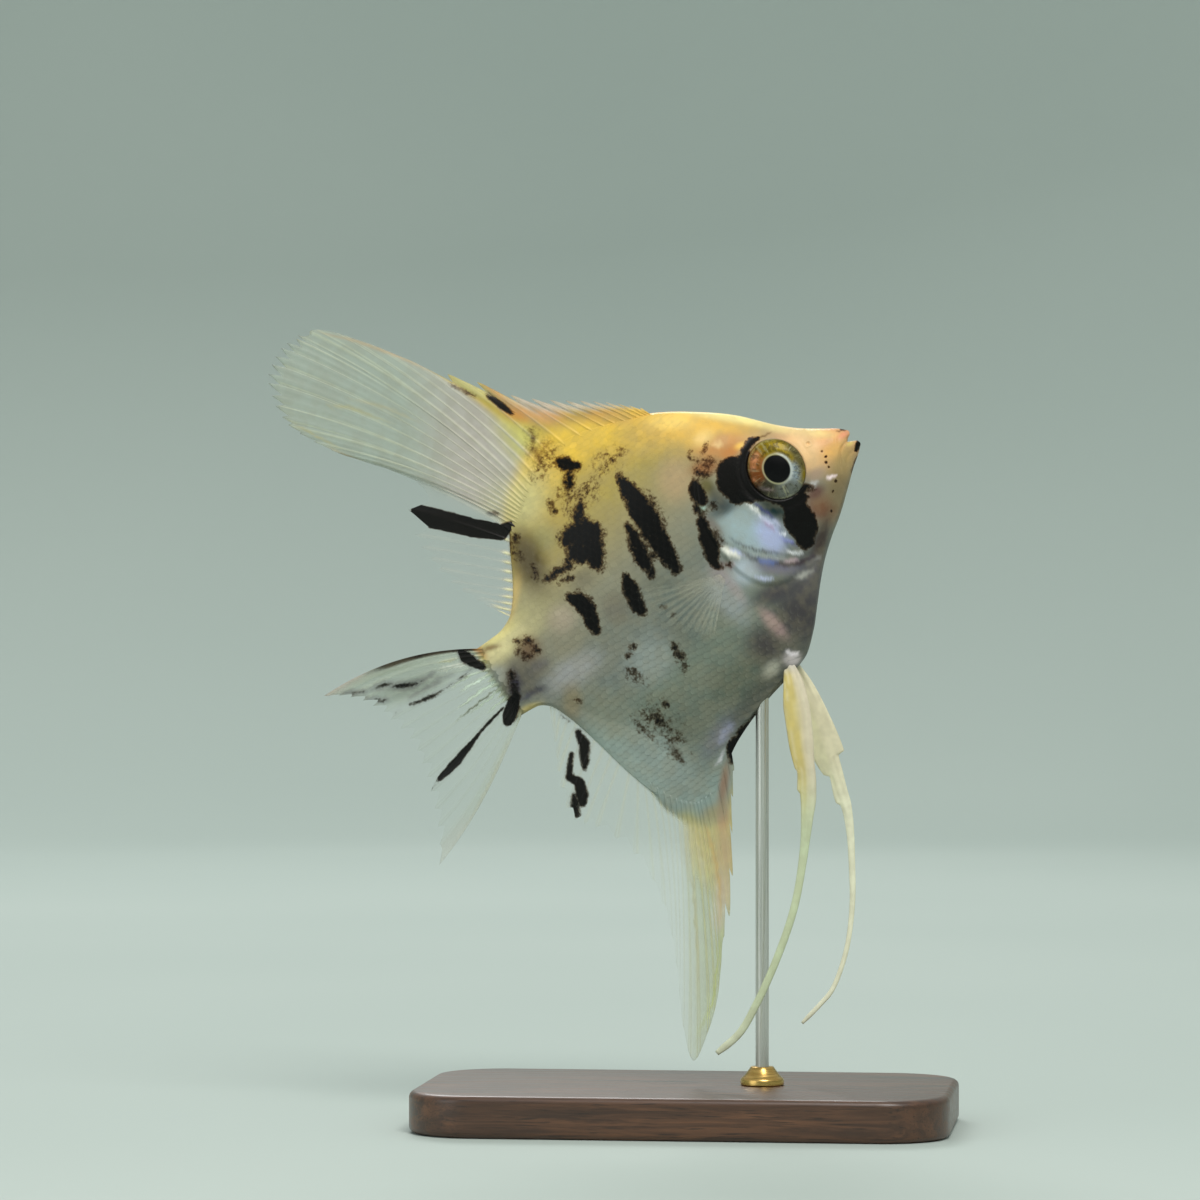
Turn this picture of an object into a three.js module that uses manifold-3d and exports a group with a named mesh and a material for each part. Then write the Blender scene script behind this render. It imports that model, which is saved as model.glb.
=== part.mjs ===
// Marble angelfish (Pterophyllum scalare), life size, held by a plain display stand.
//
// Units are millimetres. Part frame: +Z up, +X the way the snout faces, origin at the centre of
// the base's underside. The fish is laid out in its own frame first: x runs forward along the
// body axis from the root of the tail fin, y to the fish's left, z to its back. Its standard
// length, from snout to tail-fin root, is 51. The whole fish is then pitched nose-up and raised
// on the stand's rod.
import * as THREE from "three";
import { mergeVertices } from "three/addons/utils/BufferGeometryUtils.js";
import Module from "manifold-3d";

// ---------- driving dimensions ----------
const PITCH = THREE.MathUtils.degToRad(34); // the body axis, nose up
const GAP = 0.3; // clearance between neighbouring solids
const TAIL_ROOT = { x: -22, z: 53 }; // the fish frame's origin in the part frame

// Slab thickness at a fin's root and edge, the notches between its rays, how much thinner each
// side of the web between them is, and how deep the rays start in the flesh before it is cut away.
const FIN = { thick: 0.75, tip: 0.6, notch: 1.2, web: 0.05, sunk: 1.2 };
const SHEATH = { root: 1.0, edge: 0.42, round: 0.45 }; // half thickness of the scaled fin bases
const FAR = 90; // beyond the fish in every direction, for cutting planes

// Where the eyeball's rim lies, its half height and length there, how far it bulges outwards and
// reaches inwards, and how many degrees it looks forward.
const EYE = { x: 41.6, z: 2.6, y: 3.5, long: 3.4, tall: 3.8, dome: 1.2, depth: 2.9, toe: 4 };

const BASE = { length: 64, width: 36, height: 5, corner: 8, chamfer: 0.8 };
const ROD = { radius: 0.8, x: 24.2, z: -19.6, intoBody: 4, intoBase: 3 }; // x, z: in the fish frame
const COLLAR = { radius: 2.6, height: 2.2 };

// ---------- the body's outline and thickness, in the fish frame ----------
// Back and belly: the outline that shows from the side, fin bases included.
const back = through([
  [-0.8, 5.4], [2.5, 5.5], [4.6, 6.2], [6.2, 7.7], [8, 10.4], [10, 14], [12, 16.4], [15, 18.6],
  [18, 20.2], [21, 20.7], [24, 20.3], [27, 19.4], [30, 18.2], [33, 16.9], [38, 13.6], [41, 11.1],
  [44.5, 7.3], [46.5, 5.5], [49, 3.75], [50.3, 2.9], [51, 2.15], [51.5, 1.4],
]);
const belly = through([
  [-0.8, -4.4], [1.6, -4.6], [3, -5.5], [4.2, -8.2], [5.2, -12], [6.3, -17], [7.6, -21.3],
  [9.2, -24.4], [11.2, -25.9], [13.2, -25.8], [15.5, -24.5], [17.8, -22.5], [20, -21.3],
  [25, -19.5], [30, -18.3], [31.8, -17.7], [34.4, -15.6], [36.5, -13.3], [38.3, -11.3],
  [40.2, -9.4], [42.4, -7.6], [44.8, -5.9], [47.2, -3.9], [49.3, -2.1], [50.6, -1.1], [51.5, -0.3],
]);
// Where the thick flesh ends and the thin scaled fin bases begin.
const fleshTop = through([
  [-0.8, 5], [2.5, 5.2], [5, 5.8], [8, 7.6], [12, 10.4], [16, 12.8], [20, 14.9], [24, 16.3],
  [28, 16.9], [33, 16.6], [38, 13.6], [44.5, 7.3], [49, 3.75], [51.5, 1.4],
]);
const fleshBottom = through([
  [-0.8, -4.1], [2, -4.4], [4, -5.8], [6, -8.6], [9, -12.6], [12, -16.2], [15, -18.9],
  [18, -20.2], [22, -19.9], [27, -18.6], [31.8, -17.5], [36.5, -13.3], [42.4, -7.6],
  [47.2, -3.9], [51.5, -0.3],
]);
// The height at which each section is widest, and its half width there.
const middle = through([
  [-0.8, 0.5], [10, 0], [20, -1], [28, -1], [35, 0.6], [41, 2], [46, 1.6], [51.5, 0.7],
]);
const halfWidth = through([
  [-0.8, 1], [0, 1.15], [3, 1.55], [8, 2.3], [15, 3.3], [22, 4.15], [28, 4.7], [33, 4.9],
  [37, 4.75], [41, 4.2], [45, 3.15], [48, 2.15], [50, 1.5], [51.5, 0.9],
]);
const SECTION_FULLNESS = 0.62;

// The lines where the solids part: along the gill opening, and round the tail stalk.
const GILL_LINE = [
  [38, 30], [35, 19], [33.2, 14], [31.2, 8.7], [30.1, 5], [29.8, 0], [30, -4], [30.8, -8],
  [31.8, -12], [33, -30],
];
const STALK_LINE = [[4.2, 30], [3.8, 10], [3.4, 0], [3.2, -10], [3, -30]];
const GILL_COVER = [
  [36.4, 7.2], [33.6, 8], [31.5, 6.2], [30.6, 2.5], [30.5, -1.5], [31.2, -5.4], [33.2, -8.3],
  [36, -9.4], [38.4, -7.9], [38.1, -4], [36.9, 0.4], [36.2, 4],
];
const GILL_COVER_THICKNESS = 1.1;
const GILL_COVER_MIDDLE = { x: 34.2, z: -0.9 };
const LOWER_JAW = [[53, 1.2], [50.7, 1], [49.2, 0.7], [47.9, -0.9], [46.6, -2.8], [45.4, -7], [53, -7]];

const wasm = await Module();
wasm.setup();

// ---------- helpers ----------
/** A function of x through points with rising x, smooth and with no overshoot between them. */
function through(points) {
  const slope = points.slice(1).map(([x, v], i) => (v - points[i][1]) / (x - points[i][0]));
  const tangent = points.map((_, i) => {
    const [before, after] = [slope[i - 1], slope[i]];
    if (before === undefined || after === undefined) return before ?? after;
    return before * after <= 0 ? 0 : (2 * before * after) / (before + after);
  });
  const last = points.length - 2;
  return (x) => {
    const next = points.findIndex(([place]) => place > x);
    const i = next < 0 ? last : Math.max(0, next - 1);
    const [x0, v0] = points[i];
    const [x1, v1] = points[i + 1];
    const h = x1 - x0;
    const t = THREE.MathUtils.clamp((x - x0) / h, 0, 1);
    const rest = 1 - t;
    return (
      v0 * (1 + 2 * t) * rest * rest + tangent[i] * h * t * rest * rest +
      v1 * (3 - 2 * t) * t * t - tangent[i + 1] * h * t * t * rest
    );
  };
}

/** A closed skin over rings of points: each ring joins the next, and both ends are filled. */
function loft(rings) {
  const around = rings[0].length;
  const points = rings.flat();
  const faces = [];
  const at = (ring, i) => ring * around + (i % around);
  for (let r = 0; r + 1 < rings.length; r++) {
    for (let i = 0; i < around; i++) {
      faces.push(at(r, i), at(r + 1, i), at(r + 1, i + 1), at(r, i), at(r + 1, i + 1), at(r, i + 1));
    }
  }
  for (const [ring, turned] of [[0, false], [rings.length - 1, true]]) {
    const centre = rings[ring].reduce((sum, p) => sum.add(p), new THREE.Vector3()).divideScalar(around);
    points.push(centre);
    for (let i = 0; i < around; i++) {
      const [a, b] = turned ? [at(ring, i + 1), at(ring, i)] : [at(ring, i), at(ring, i + 1)];
      faces.push(points.length - 1, a, b);
    }
  }
  return new THREE.BufferGeometry().setFromPoints(points).setIndex(faces);
}

/** A three.js geometry as a manifold-3d solid, its faces turned outwards. */
function solid(geometry) {
  const bare = geometry.clone();
  bare.deleteAttribute("normal");
  bare.deleteAttribute("uv");
  const merged = mergeVertices(bare, 1e-4);
  const triVerts = new Uint32Array(merged.index.array);
  const vertProperties = merged.attributes.position.array;
  const build = () => new wasm.Manifold(new wasm.Mesh({ numProp: 3, vertProperties, triVerts }));
  const made = build();
  if (made.volume() > 0) return made;
  triVerts.reverse();
  return build();
}

/** A manifold-3d solid as a three.js geometry. */
function geometryOf(made) {
  const { vertProperties, triVerts } = made.getMesh();
  return new THREE.BufferGeometry()
    .setAttribute("position", new THREE.BufferAttribute(new Float32Array(vertProperties), 3))
    .setIndex(new THREE.BufferAttribute(new Uint32Array(triVerts), 1));
}

/** A prism across the fish: an outline in x and z, carried from y = from to y = to. */
function prism(outline, from = -FAR, to = FAR) {
  const shape = new THREE.Shape(outline.map(([x, z]) => new THREE.Vector2(x, z)));
  const geometry = new THREE.ExtrudeGeometry(shape, { depth: to - from, bevelEnabled: false });
  geometry.rotateX(Math.PI / 2).translate(0, to, 0);
  return solid(geometry);
}

/** A smooth line through points, or a smooth closed one. */
function smoothLine(points, pieces, closed = false) {
  const curve = new THREE.CatmullRomCurve3(points.map(([x, z]) => new THREE.Vector3(x, 0, z)), closed);
  const places = curve.getPoints(pieces).map((p) => [p.x, p.z]);
  return closed ? places.slice(0, -1) : places;
}

/** Everything in front of a line (or, with behind, everything behind it), moved forward by shift. */
function sideOf(line, shift, behind) {
  const end = behind ? -FAR : FAR;
  const edge = smoothLine(line, 12).map(([x, z]) => [x + shift, z]);
  return prism([...edge, [end, edge.at(-1)[1]], [end, edge[0][1]]]);
}

// ---------- body ----------
/** Half the body's thickness at a place on its side. */
function thicknessAt(x, z) {
  const up = z >= middle(x);
  const flesh = up ? fleshTop(x) : fleshBottom(x);
  const edge = up ? back(x) : belly(x);
  const height = Math.min(1, Math.abs(z - middle(x)) / Math.abs(flesh - middle(x)));
  const lens = halfWidth(x) * (1 - height ** 2) ** SECTION_FULLNESS;
  const outOfFlesh = THREE.MathUtils.clamp((z - flesh) / (edge - flesh || 1), 0, 1);
  const root = Math.min(SHEATH.root, 0.55 * halfWidth(x));
  const sheath = THREE.MathUtils.lerp(root, Math.min(SHEATH.edge, root), height < 1 ? 0 : outOfFlesh);
  const inside = Math.abs(edge - z);
  const rim = inside < SHEATH.round ? Math.sqrt(1 - (1 - inside / SHEATH.round) ** 2) : 1;
  return Math.cbrt(lens ** 3 + sheath ** 3) * rim;
}

const STATIONS = [
  -0.8, 1, 2.6, 4, 5.2, 6.6, 8, 9.6, 11.4, 13.4, 15.6, 18, 20.6, 23.4, 26.2, 29, 31.4, 33.6,
  35.6, 37.4, 39, 40.6, 42.2, 43.8, 45.4, 47, 48.4, 49.6, 50.6, 51.4,
];
const SECTION_POINTS = 24;
const LEAST_HALF_THICKNESS = 0.05;

/** The whole body. grow > 0 swells it on every side, and thin > 0 shaves its two flanks. */
function bodySolid({ grow = 0, thin = 0 } = {}) {
  const rings = STATIONS.map((x, s) => {
    const place = x + (s === 0 ? -grow : s === STATIONS.length - 1 ? grow : 0);
    return Array.from({ length: SECTION_POINTS }, (_, i) => {
      const turn = (i / SECTION_POINTS) * 2 * Math.PI;
      const [across, up] = [Math.cos(turn), Math.sin(turn)];
      const reach = (up >= 0 ? back(x) : belly(x)) - middle(x);
      const z = middle(x) + reach * Math.abs(up);
      const pole = Math.abs(across) < 1e-6;
      const half = pole ? 0 : Math.max(LEAST_HALF_THICKNESS, thicknessAt(x, z) + grow - thin);
      return new THREE.Vector3(place, Math.sign(across) * half, z + Math.sign(up) * grow);
    });
  });
  return solid(loft(rings));
}

/** The eyeball: a shallow dome outside and a deep bowl inside, turned about the line of sight. */
function eyeSolid(side, grow = 0) {
  const pieces = 5;
  const profile = Array.from({ length: 2 * pieces + 1 }, (_, i) => {
    const turn = (i / pieces) * (Math.PI / 2);
    const reach = (i <= pieces ? EYE.dome : EYE.depth) + grow;
    const onAxis = i === 0 || i === 2 * pieces;
    return new THREE.Vector2(onAxis ? 0 : Math.sin(turn) * (EYE.long + grow), Math.cos(turn) * reach);
  });
  const geometry = new THREE.LatheGeometry(profile.reverse(), 18);
  geometry.scale(1, 1, (EYE.tall + grow) / (EYE.long + grow));
  if (side < 0) geometry.rotateX(Math.PI);
  geometry.rotateZ(THREE.MathUtils.degToRad(-side * EYE.toe)).translate(EYE.x, side * EYE.y, EYE.z);
  return solid(geometry);
}

// ---------- fins ----------
/**
 * A fin as one closed slab. Each guide [r, x, z] is a ray from root(r) to its tip at x, z; the
 * rays asked for are spread evenly over the guides, bowed forward by bow(t) of their length for t
 * from 0 to 1, and the edge is notched between them. aside(t, s) is how far the fin stands off
 * its plane, s being the way along the ray.
 */
function finSlab({ rays, guides, root, bow = () => 0, aside = () => 0, steps = 5, thick = FIN.thick }) {
  const guide = new THREE.CatmullRomCurve3(guides.map((g) => new THREE.Vector3(...g)));
  const columns = 2 * rays - 1;
  const column = (_, c) => {
    const t = c / (columns - 1);
    const between = c % 2 === 1;
    const { x: r, y: tipX, z: tipZ } = guide.getPoint(t);
    const [foot, tip] = [new THREE.Vector2(...root(r)), new THREE.Vector2(tipX, tipZ)];
    const ray = tip.clone().sub(foot);
    const [length, way] = [ray.length(), ray.normalize()];
    foot.addScaledVector(way, -FIN.sunk);
    if (between) tip.addScaledVector(way, -Math.min(FIN.notch, 0.2 * length));
    const knee = foot.clone().lerp(tip, 0.5);
    knee.add(new THREE.Vector2(Math.abs(way.y), Math.abs(way.x)).multiplyScalar(bow(t) * length));
    const bent = new THREE.QuadraticBezierCurve(foot, knee, tip);
    return Array.from({ length: steps + 1 }, (_, i) => {
      const s = i / steps;
      const half = THREE.MathUtils.lerp(thick, FIN.tip, s) / 2 - (between ? FIN.web : 0);
      return { at: bent.getPoint(s), off: aside(t, s), half };
    });
  };
  const rings = Array.from({ length: columns }, column).map((line) => {
    const right = line.map(({ at, off, half }) => new THREE.Vector3(at.x, off - half, at.y));
    const left = line.map(({ at, off, half }) => new THREE.Vector3(at.x, off + half, at.y));
    return [...right, ...left.reverse()];
  });
  return solid(loft(rings));
}

/** A ribbon along a line of [x, y, z] points, broadside on, width(s) wide at s from 0 to 1. */
function ribbon(points, width, thick = FIN.thick, steps = 22) {
  const places = points.map((p) => new THREE.Vector3(...p));
  const curve = new THREE.CatmullRomCurve3(places, false, "centripetal");
  const across = new THREE.Vector3(0, 1, 0);
  const rings = Array.from({ length: steps + 1 }, (_, i) => {
    const s = i / steps;
    const [centre, along] = [curve.getPointAt(s), curve.getTangentAt(s)];
    const wide = new THREE.Vector3().crossVectors(along, across).normalize();
    const half = width(s) / 2;
    const deep = THREE.MathUtils.lerp(thick, FIN.tip, s) / 2;
    return Array.from({ length: 6 }, (_, k) => {
      const turn = (k / 6) * 2 * Math.PI;
      const rim = centre.clone().addScaledVector(wide, Math.cos(turn) * half);
      return rim.addScaledVector(across, Math.sin(turn) * deep);
    });
  });
  return solid(loft(rings));
}

// Rays from front to back, as [x of the root on the body's edge, x and z of the tip].
const DORSAL_RAYS = [
  [32.5, 32.1, 18.1], [31.4, 29.8, 20.4], [29.7, 27.2, 22.5], [27, 23.9, 24.9], [23.6, 20, 28.3],
  [21.6, 17.6, 31.7], [19.6, 15.2, 34.6], [17.8, 12, 38.9], [16.2, 8.3, 44.3], [14.8, 4.3, 48.6],
  [13.7, 0.1, 49.4], [12.9, -3.7, 47], [12.2, -4.8, 41.7], [11.6, -2.8, 36.4], [11.1, 1.9, 30.3],
  [10.6, 4.3, 26.1], [9.9, 1.6, 24.2], [9, 0.6, 20.8], [8, 0.4, 17.6], [6.9, 1, 14],
  [5.9, 2.4, 10.6], [4.9, 3.8, 8],
];
const ANAL_RAYS = [
  [17.9, 17.3, -23.8], [16.9, 15.4, -26.4], [15.9, 13.4, -29.2], [14.8, 11.6, -32],
  [13.8, 9.4, -35.3], [12.8, 7.4, -37.8], [12, 5, -40.1], [11.3, 2.6, -42.9], [10.7, 0.3, -45.6],
  [10.1, -2.6, -48.1], [9.5, -6.2, -50.2], [8.9, -5, -46], [8.3, -2.4, -41.2], [7.7, 0.2, -35.6],
  [7.1, 1.6, -30], [6.6, 1.2, -24.8], [6, -0.6, -20.6], [5.4, -2.1, -17.6], [4.6, -1.2, -13.2],
  [3.7, 0.7, -9.6], [2.9, 2, -7.1],
];
// The tail fin's rays from top to bottom, as [z of the root, x and z of the tip].
const CAUDAL_RAYS = [
  [4.8, -19.4, 11.1], [3.9, -16.9, 9.2], [2.7, -15.2, 6.8], [1.6, -14.3, 4.2], [0.4, -13.9, 1],
  [-0.7, -14.1, -2.4], [-1.9, -15.2, -5.8], [-3, -16.8, -9.8], [-4, -19.2, -13.7],
];

const dorsalFin = () =>
  finSlab({
    rays: 25,
    guides: DORSAL_RAYS,
    root: (r) => [r, back(r)],
    bow: (t) => 0.09 * Math.sin(Math.PI * t) ** 2,
    aside: (t, s) => 1.4 * Math.sin(Math.PI * t) ** 2 * s * s,
  });

const analFin = () =>
  finSlab({
    rays: 21,
    guides: ANAL_RAYS,
    root: (r) => [r, belly(r)],
    bow: (t) => 0.07 * Math.sin(Math.PI * t),
    aside: (t, s) => -1.3 * Math.sin(Math.PI * t) ** 2 * s * s,
    steps: 6,
  });

const caudalFin = () =>
  finSlab({
    rays: 15,
    guides: CAUDAL_RAYS,
    root: (r) => [-0.4, r],
    bow: (t) => THREE.MathUtils.lerp(0.12, -0.16, t),
    aside: (t, s) => 1.2 * s * s,
  });

// The pelvic fins: a blade that runs out into one long filament.
const PELVIC = {
  right: {
    line: [
      [29.7, -1.1, -17.2], [29.1, -1.8, -19.6], [27.8, -2.4, -22.8], [26.1, -2.9, -26], [24.1, -3.4, -30],
      [21.4, -4, -33.9], [18.1, -4.5, -37.9], [14.3, -5.1, -41.8], [9.3, -5.4, -45.6],
      [4.3, -5.6, -48.7], [0.8, -5.6, -50.4], [-2.8, -5.6, -50.9],
    ],
    width: through([
      [0, 1.2], [0.12, 2.4], [0.2, 3.2], [0.28, 2.7], [0.36, 1.5], [0.42, 1], [0.95, 0.9], [1, 0.5],
    ]),
  },
  left: {
    line: [
      [29.9, 1.5, -17.2], [29.4, 1.8, -20.6], [28.6, 2.2, -24.2], [27.5, 2.8, -28], [26, 3.7, -32.7],
      [25, 4.3, -36.2], [21.7, 5.1, -41.9], [18.9, 5.8, -45.9], [15.4, 6.1, -49.7],
      [11.5, 6.2, -52.5], [9.5, 6.2, -53.1], [6.3, 6.2, -53.8],
    ],
    width: through([
      [0, 1.2], [0.14, 3.2], [0.26, 4], [0.33, 2.9], [0.42, 1.3], [0.48, 0.9], [0.8, 0.7], [1, 0.5],
    ]),
  },
};

// The pectoral fan's root on the flank and its length, the rays' spread, reach and droop, how far
// they stand out, and how high the root starts over the flank.
const PECTORAL = { x: 28.2, z: -4.6, root: 2.2, reach: 10.5, spread: 62, droop: 12, out: 30, lift: 0.25 };

/** A small fan that springs from the flank behind the gill cover and stands out to the side. */
function pectoralFin(side) {
  const guides = Array.from({ length: 5 }, (_, i) => {
    const t = i / 4;
    const turn = THREE.MathUtils.degToRad((0.5 - t) * PECTORAL.spread);
    const reach = PECTORAL.reach * (1 - 0.35 * t ** 2);
    const foot = (0.5 - t) * PECTORAL.root;
    return [foot, -Math.cos(turn) * reach, foot + Math.sin(turn) * reach];
  });
  const fan = finSlab({
    rays: 8,
    guides,
    root: (r) => [0, r],
    aside: (t, s) => side * 0.8 * s * s,
    thick: 0.6,
    steps: 3,
  });
  const geometry = geometryOf(fan);
  geometry.rotateY(THREE.MathUtils.degToRad(-PECTORAL.droop));
  geometry.rotateZ(THREE.MathUtils.degToRad(-side * PECTORAL.out));
  const flank = thicknessAt(PECTORAL.x, PECTORAL.z) + PECTORAL.lift;
  geometry.translate(PECTORAL.x, side * flank, PECTORAL.z);
  return solid(geometry);
}

// ---------- stand ----------
const uprightCylinder = (radius, height) =>
  new THREE.CylinderGeometry(radius, radius, height, 20).rotateX(Math.PI / 2);

function standBase(boreX) {
  const [halfLength, halfWide, r] = [BASE.length / 2, BASE.width / 2, BASE.corner];
  const shape = new THREE.Shape();
  shape.moveTo(-halfLength + r, -halfWide);
  shape.lineTo(halfLength - r, -halfWide);
  shape.absarc(halfLength - r, -halfWide + r, r, -Math.PI / 2, 0);
  shape.absarc(halfLength - r, halfWide - r, r, 0, Math.PI / 2);
  shape.absarc(-halfLength + r, halfWide - r, r, Math.PI / 2, Math.PI);
  shape.absarc(-halfLength + r, -halfWide + r, r, Math.PI, 1.5 * Math.PI);
  const c = BASE.chamfer;
  const geometry = new THREE.ExtrudeGeometry(shape, {
    depth: BASE.height - 2 * c,
    bevelThickness: c,
    bevelSize: c,
    bevelOffset: -c,
    bevelSegments: 1,
    curveSegments: 4,
  });
  geometry.translate(0, 0, c);
  const bore = uprightCylinder(ROD.radius + GAP, 2 * (ROD.intoBase + GAP)).translate(boreX, 0, BASE.height);
  return solid(geometry).subtract(solid(bore));
}

function standCollar() {
  const [inner, outer, top] = [ROD.radius + GAP, COLLAR.radius, COLLAR.height];
  const places = [[inner, 0], [outer, 0], [outer, 0.35 * top], [inner + 0.7, top], [inner, top], [inner, 0]];
  const profile = places.map(([r, h]) => new THREE.Vector2(r, h));
  return new THREE.LatheGeometry(profile, 16).rotateX(Math.PI / 2);
}

// ---------- materials ----------
const paint = (color, roughness = 0.45, metalness = 0, opacity = 1) =>
  new THREE.MeshStandardMaterial({ color, roughness, metalness, opacity, transparent: opacity < 1 });
const MATERIALS = {
  flank: paint(0xc9c4ad, 0.35),
  head: paint(0xe2b878, 0.35),
  gill: paint(0xb9c4cc, 0.2, 0.3),
  eye: paint(0x15120f, 0.08),
  clearFin: paint(0xdcdccb, 0.4, 0, 0.75),
  goldFin: paint(0xe0b66a, 0.4, 0, 0.9),
  paleFin: paint(0xe9e2b8, 0.4, 0, 0.95),
  wood: paint(0x3b2a20, 0.4),
  steel: paint(0xb9b4a8, 0.28, 1),
};

// ---------- assembly ----------
const fish = new THREE.Group();
const add = (parent, name, made, material) => {
  const mesh = new THREE.Mesh(made.isBufferGeometry ? made : geometryOf(made), MATERIALS[material]);
  mesh.name = name;
  parent.add(mesh);
  return mesh;
};

const rodFoot = new THREE.Vector3(ROD.x, 0, ROD.z).applyAxisAngle(new THREE.Vector3(0, 1, 0), -PITCH);
const rodX = rodFoot.x + TAIL_ROOT.x;
const rodTop = rodFoot.z + TAIL_ROOT.z + ROD.intoBody;

/** The rod's bore in the trunk, upright in the part frame and so leaning in the fish frame. */
function rodBore() {
  const bore = uprightCylinder(ROD.radius + GAP, 2 * (ROD.intoBody + GAP));
  return solid(bore.rotateY(PITCH).translate(ROD.x, 0, ROD.z));
}

function addBody() {
  const body = bodySolid();
  const shell = body.subtract(bodySolid({ thin: GILL_COVER_THICKNESS }));
  const cover = prism(smoothLine(GILL_COVER, 20, true));
  const middle = GILL_COVER_MIDDLE;
  const around = GILL_COVER.map(([x, z]) => [
    middle.x + (x - middle.x) * 1.075,
    middle.z + (z - middle.z) * 1.035,
  ]);
  const pocket = prism(smoothLine(around, 20, true));
  const behindCover = pocket.subtract(bodySolid({ thin: GILL_COVER_THICKNESS + GAP }));
  const jaw = prism(LOWER_JAW);
  const jawSpace = prism(LOWER_JAW.map(([x, z]) => [x - GAP, z + GAP]));
  const front = body.intersect(sideOf(GILL_LINE, 0, false));

  let head = front.subtract(behindCover).subtract(jawSpace);
  for (const side of [-1, 1]) head = head.subtract(eyeSolid(side, GAP));
  add(fish, "head", head, "head");
  add(fish, "lower_jaw", front.intersect(jaw), "head");
  for (const [name, side] of [["right", -1], ["left", 1]]) {
    const square = [[-FAR, -FAR], [FAR, -FAR], [FAR, FAR], [-FAR, FAR]];
    const flank = side < 0 ? prism(square, -FAR, -GAP) : prism(square, GAP, FAR);
    add(fish, `gill_cover_${name}`, shell.intersect(cover).intersect(flank), "gill");
    add(fish, `eye_${name}`, eyeSolid(side), "eye");
  }
  const trunk = body.intersect(sideOf(GILL_LINE, -GAP, true)).intersect(sideOf(STALK_LINE, GAP, false));
  add(fish, "trunk", trunk.subtract(rodBore()), "flank");
  add(fish, "tail_stalk", body.intersect(sideOf(STALK_LINE, 0, true)), "flank");
}

function addFins() {
  const flesh = bodySolid({ grow: GAP });
  add(fish, "dorsal_fin", dorsalFin().subtract(flesh), "clearFin");
  add(fish, "anal_fin", analFin().subtract(flesh), "goldFin");
  add(fish, "caudal_fin", caudalFin().subtract(flesh), "clearFin");
  for (const [name, side] of [["right", -1], ["left", 1]]) {
    const { line, width } = PELVIC[name];
    add(fish, `pelvic_fin_${name}`, ribbon(line, width).subtract(flesh), "paleFin");
    add(fish, `pectoral_fin_${name}`, pectoralFin(side).subtract(flesh), "clearFin");
  }
}

addBody();
addFins();
fish.rotation.y = -PITCH;
fish.position.set(TAIL_ROOT.x, 0, TAIL_ROOT.z);

const part = new THREE.Group();
part.add(fish);
add(part, "stand_base", standBase(rodX), "wood");
add(part, "stand_collar", standCollar(), "steel").position.set(rodX, 0, BASE.height + 0.02);
const rodBottom = BASE.height - ROD.intoBase;
const rod = uprightCylinder(ROD.radius, rodTop - rodBottom);
add(part, "stand_rod", rod, "steel").position.set(rodX, 0, (rodTop + rodBottom) / 2);

export default part;
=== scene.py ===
# Marble angelfish, life size, on a plain display stand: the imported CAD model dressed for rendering.
#
# The fish is laid out in its own frame, in millimetres, as in the part's source: x forward along
# the body axis from the root of the tail fin, y to its left, z to its back. to_world() pitches it
# nose-up and puts it on the stand's rod. Markings are placed at u and w, the x and z that were
# measured on the photo, which was taken a few degrees to the fish's front; seen() tells them.
import math

import bmesh
import bpy
import numpy as np
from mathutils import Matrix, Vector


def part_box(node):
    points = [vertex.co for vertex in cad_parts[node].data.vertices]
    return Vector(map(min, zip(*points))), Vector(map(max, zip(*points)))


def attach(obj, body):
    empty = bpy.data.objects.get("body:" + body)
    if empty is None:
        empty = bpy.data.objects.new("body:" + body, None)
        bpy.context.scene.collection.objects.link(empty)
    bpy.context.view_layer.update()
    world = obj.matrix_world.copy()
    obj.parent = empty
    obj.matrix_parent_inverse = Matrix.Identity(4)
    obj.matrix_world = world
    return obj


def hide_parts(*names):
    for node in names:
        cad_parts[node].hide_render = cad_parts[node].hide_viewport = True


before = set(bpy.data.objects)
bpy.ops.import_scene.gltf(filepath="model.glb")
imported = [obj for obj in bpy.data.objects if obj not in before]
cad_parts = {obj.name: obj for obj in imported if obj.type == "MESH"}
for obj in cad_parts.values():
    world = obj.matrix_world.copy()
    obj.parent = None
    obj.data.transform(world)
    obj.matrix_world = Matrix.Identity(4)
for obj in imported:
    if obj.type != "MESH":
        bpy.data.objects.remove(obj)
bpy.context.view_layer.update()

MM = 0.001
PITCH = math.radians(34)
ROD = {"x": 24.2, "z": -19.6, "into_body": 4.0}  # where the rod meets the belly, in the fish frame
PHOTO = {"turn": math.radians(7), "distance": 600, "aim": (-10.51, 62.96)}  # where it was taken from
COAT = 0.1  # how far the skin lies inside the CAD solids, to leave room for the scales
random = np.random.default_rng(7)


# ---------- smooth functions and lines ----------
def through(points):
    """A function of x through points with rising x, smooth and with no overshoot between them."""
    xs, vs = np.array(points, float).T
    h = np.diff(xs)
    slope = np.diff(vs) / h
    before, after = slope[:-1], slope[1:]
    total = np.where(before + after == 0, 1, before + after)
    inner = np.where(before * after <= 0, 0, 2 * before * after / total)
    tangent = np.concatenate([slope[:1], inner, slope[-1:]])

    def at(x):
        x = np.asarray(x, float)
        i = np.clip(np.searchsorted(xs, x, side="right") - 1, 0, len(xs) - 2)
        t = np.clip((x - xs[i]) / h[i], 0, 1)
        rest = 1 - t
        return (
            vs[i] * (1 + 2 * t) * rest**2 + tangent[i] * h[i] * t * rest**2
            + vs[i + 1] * (3 - 2 * t) * t**2 - tangent[i + 1] * h[i] * t**2 * rest
        )

    return at


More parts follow.
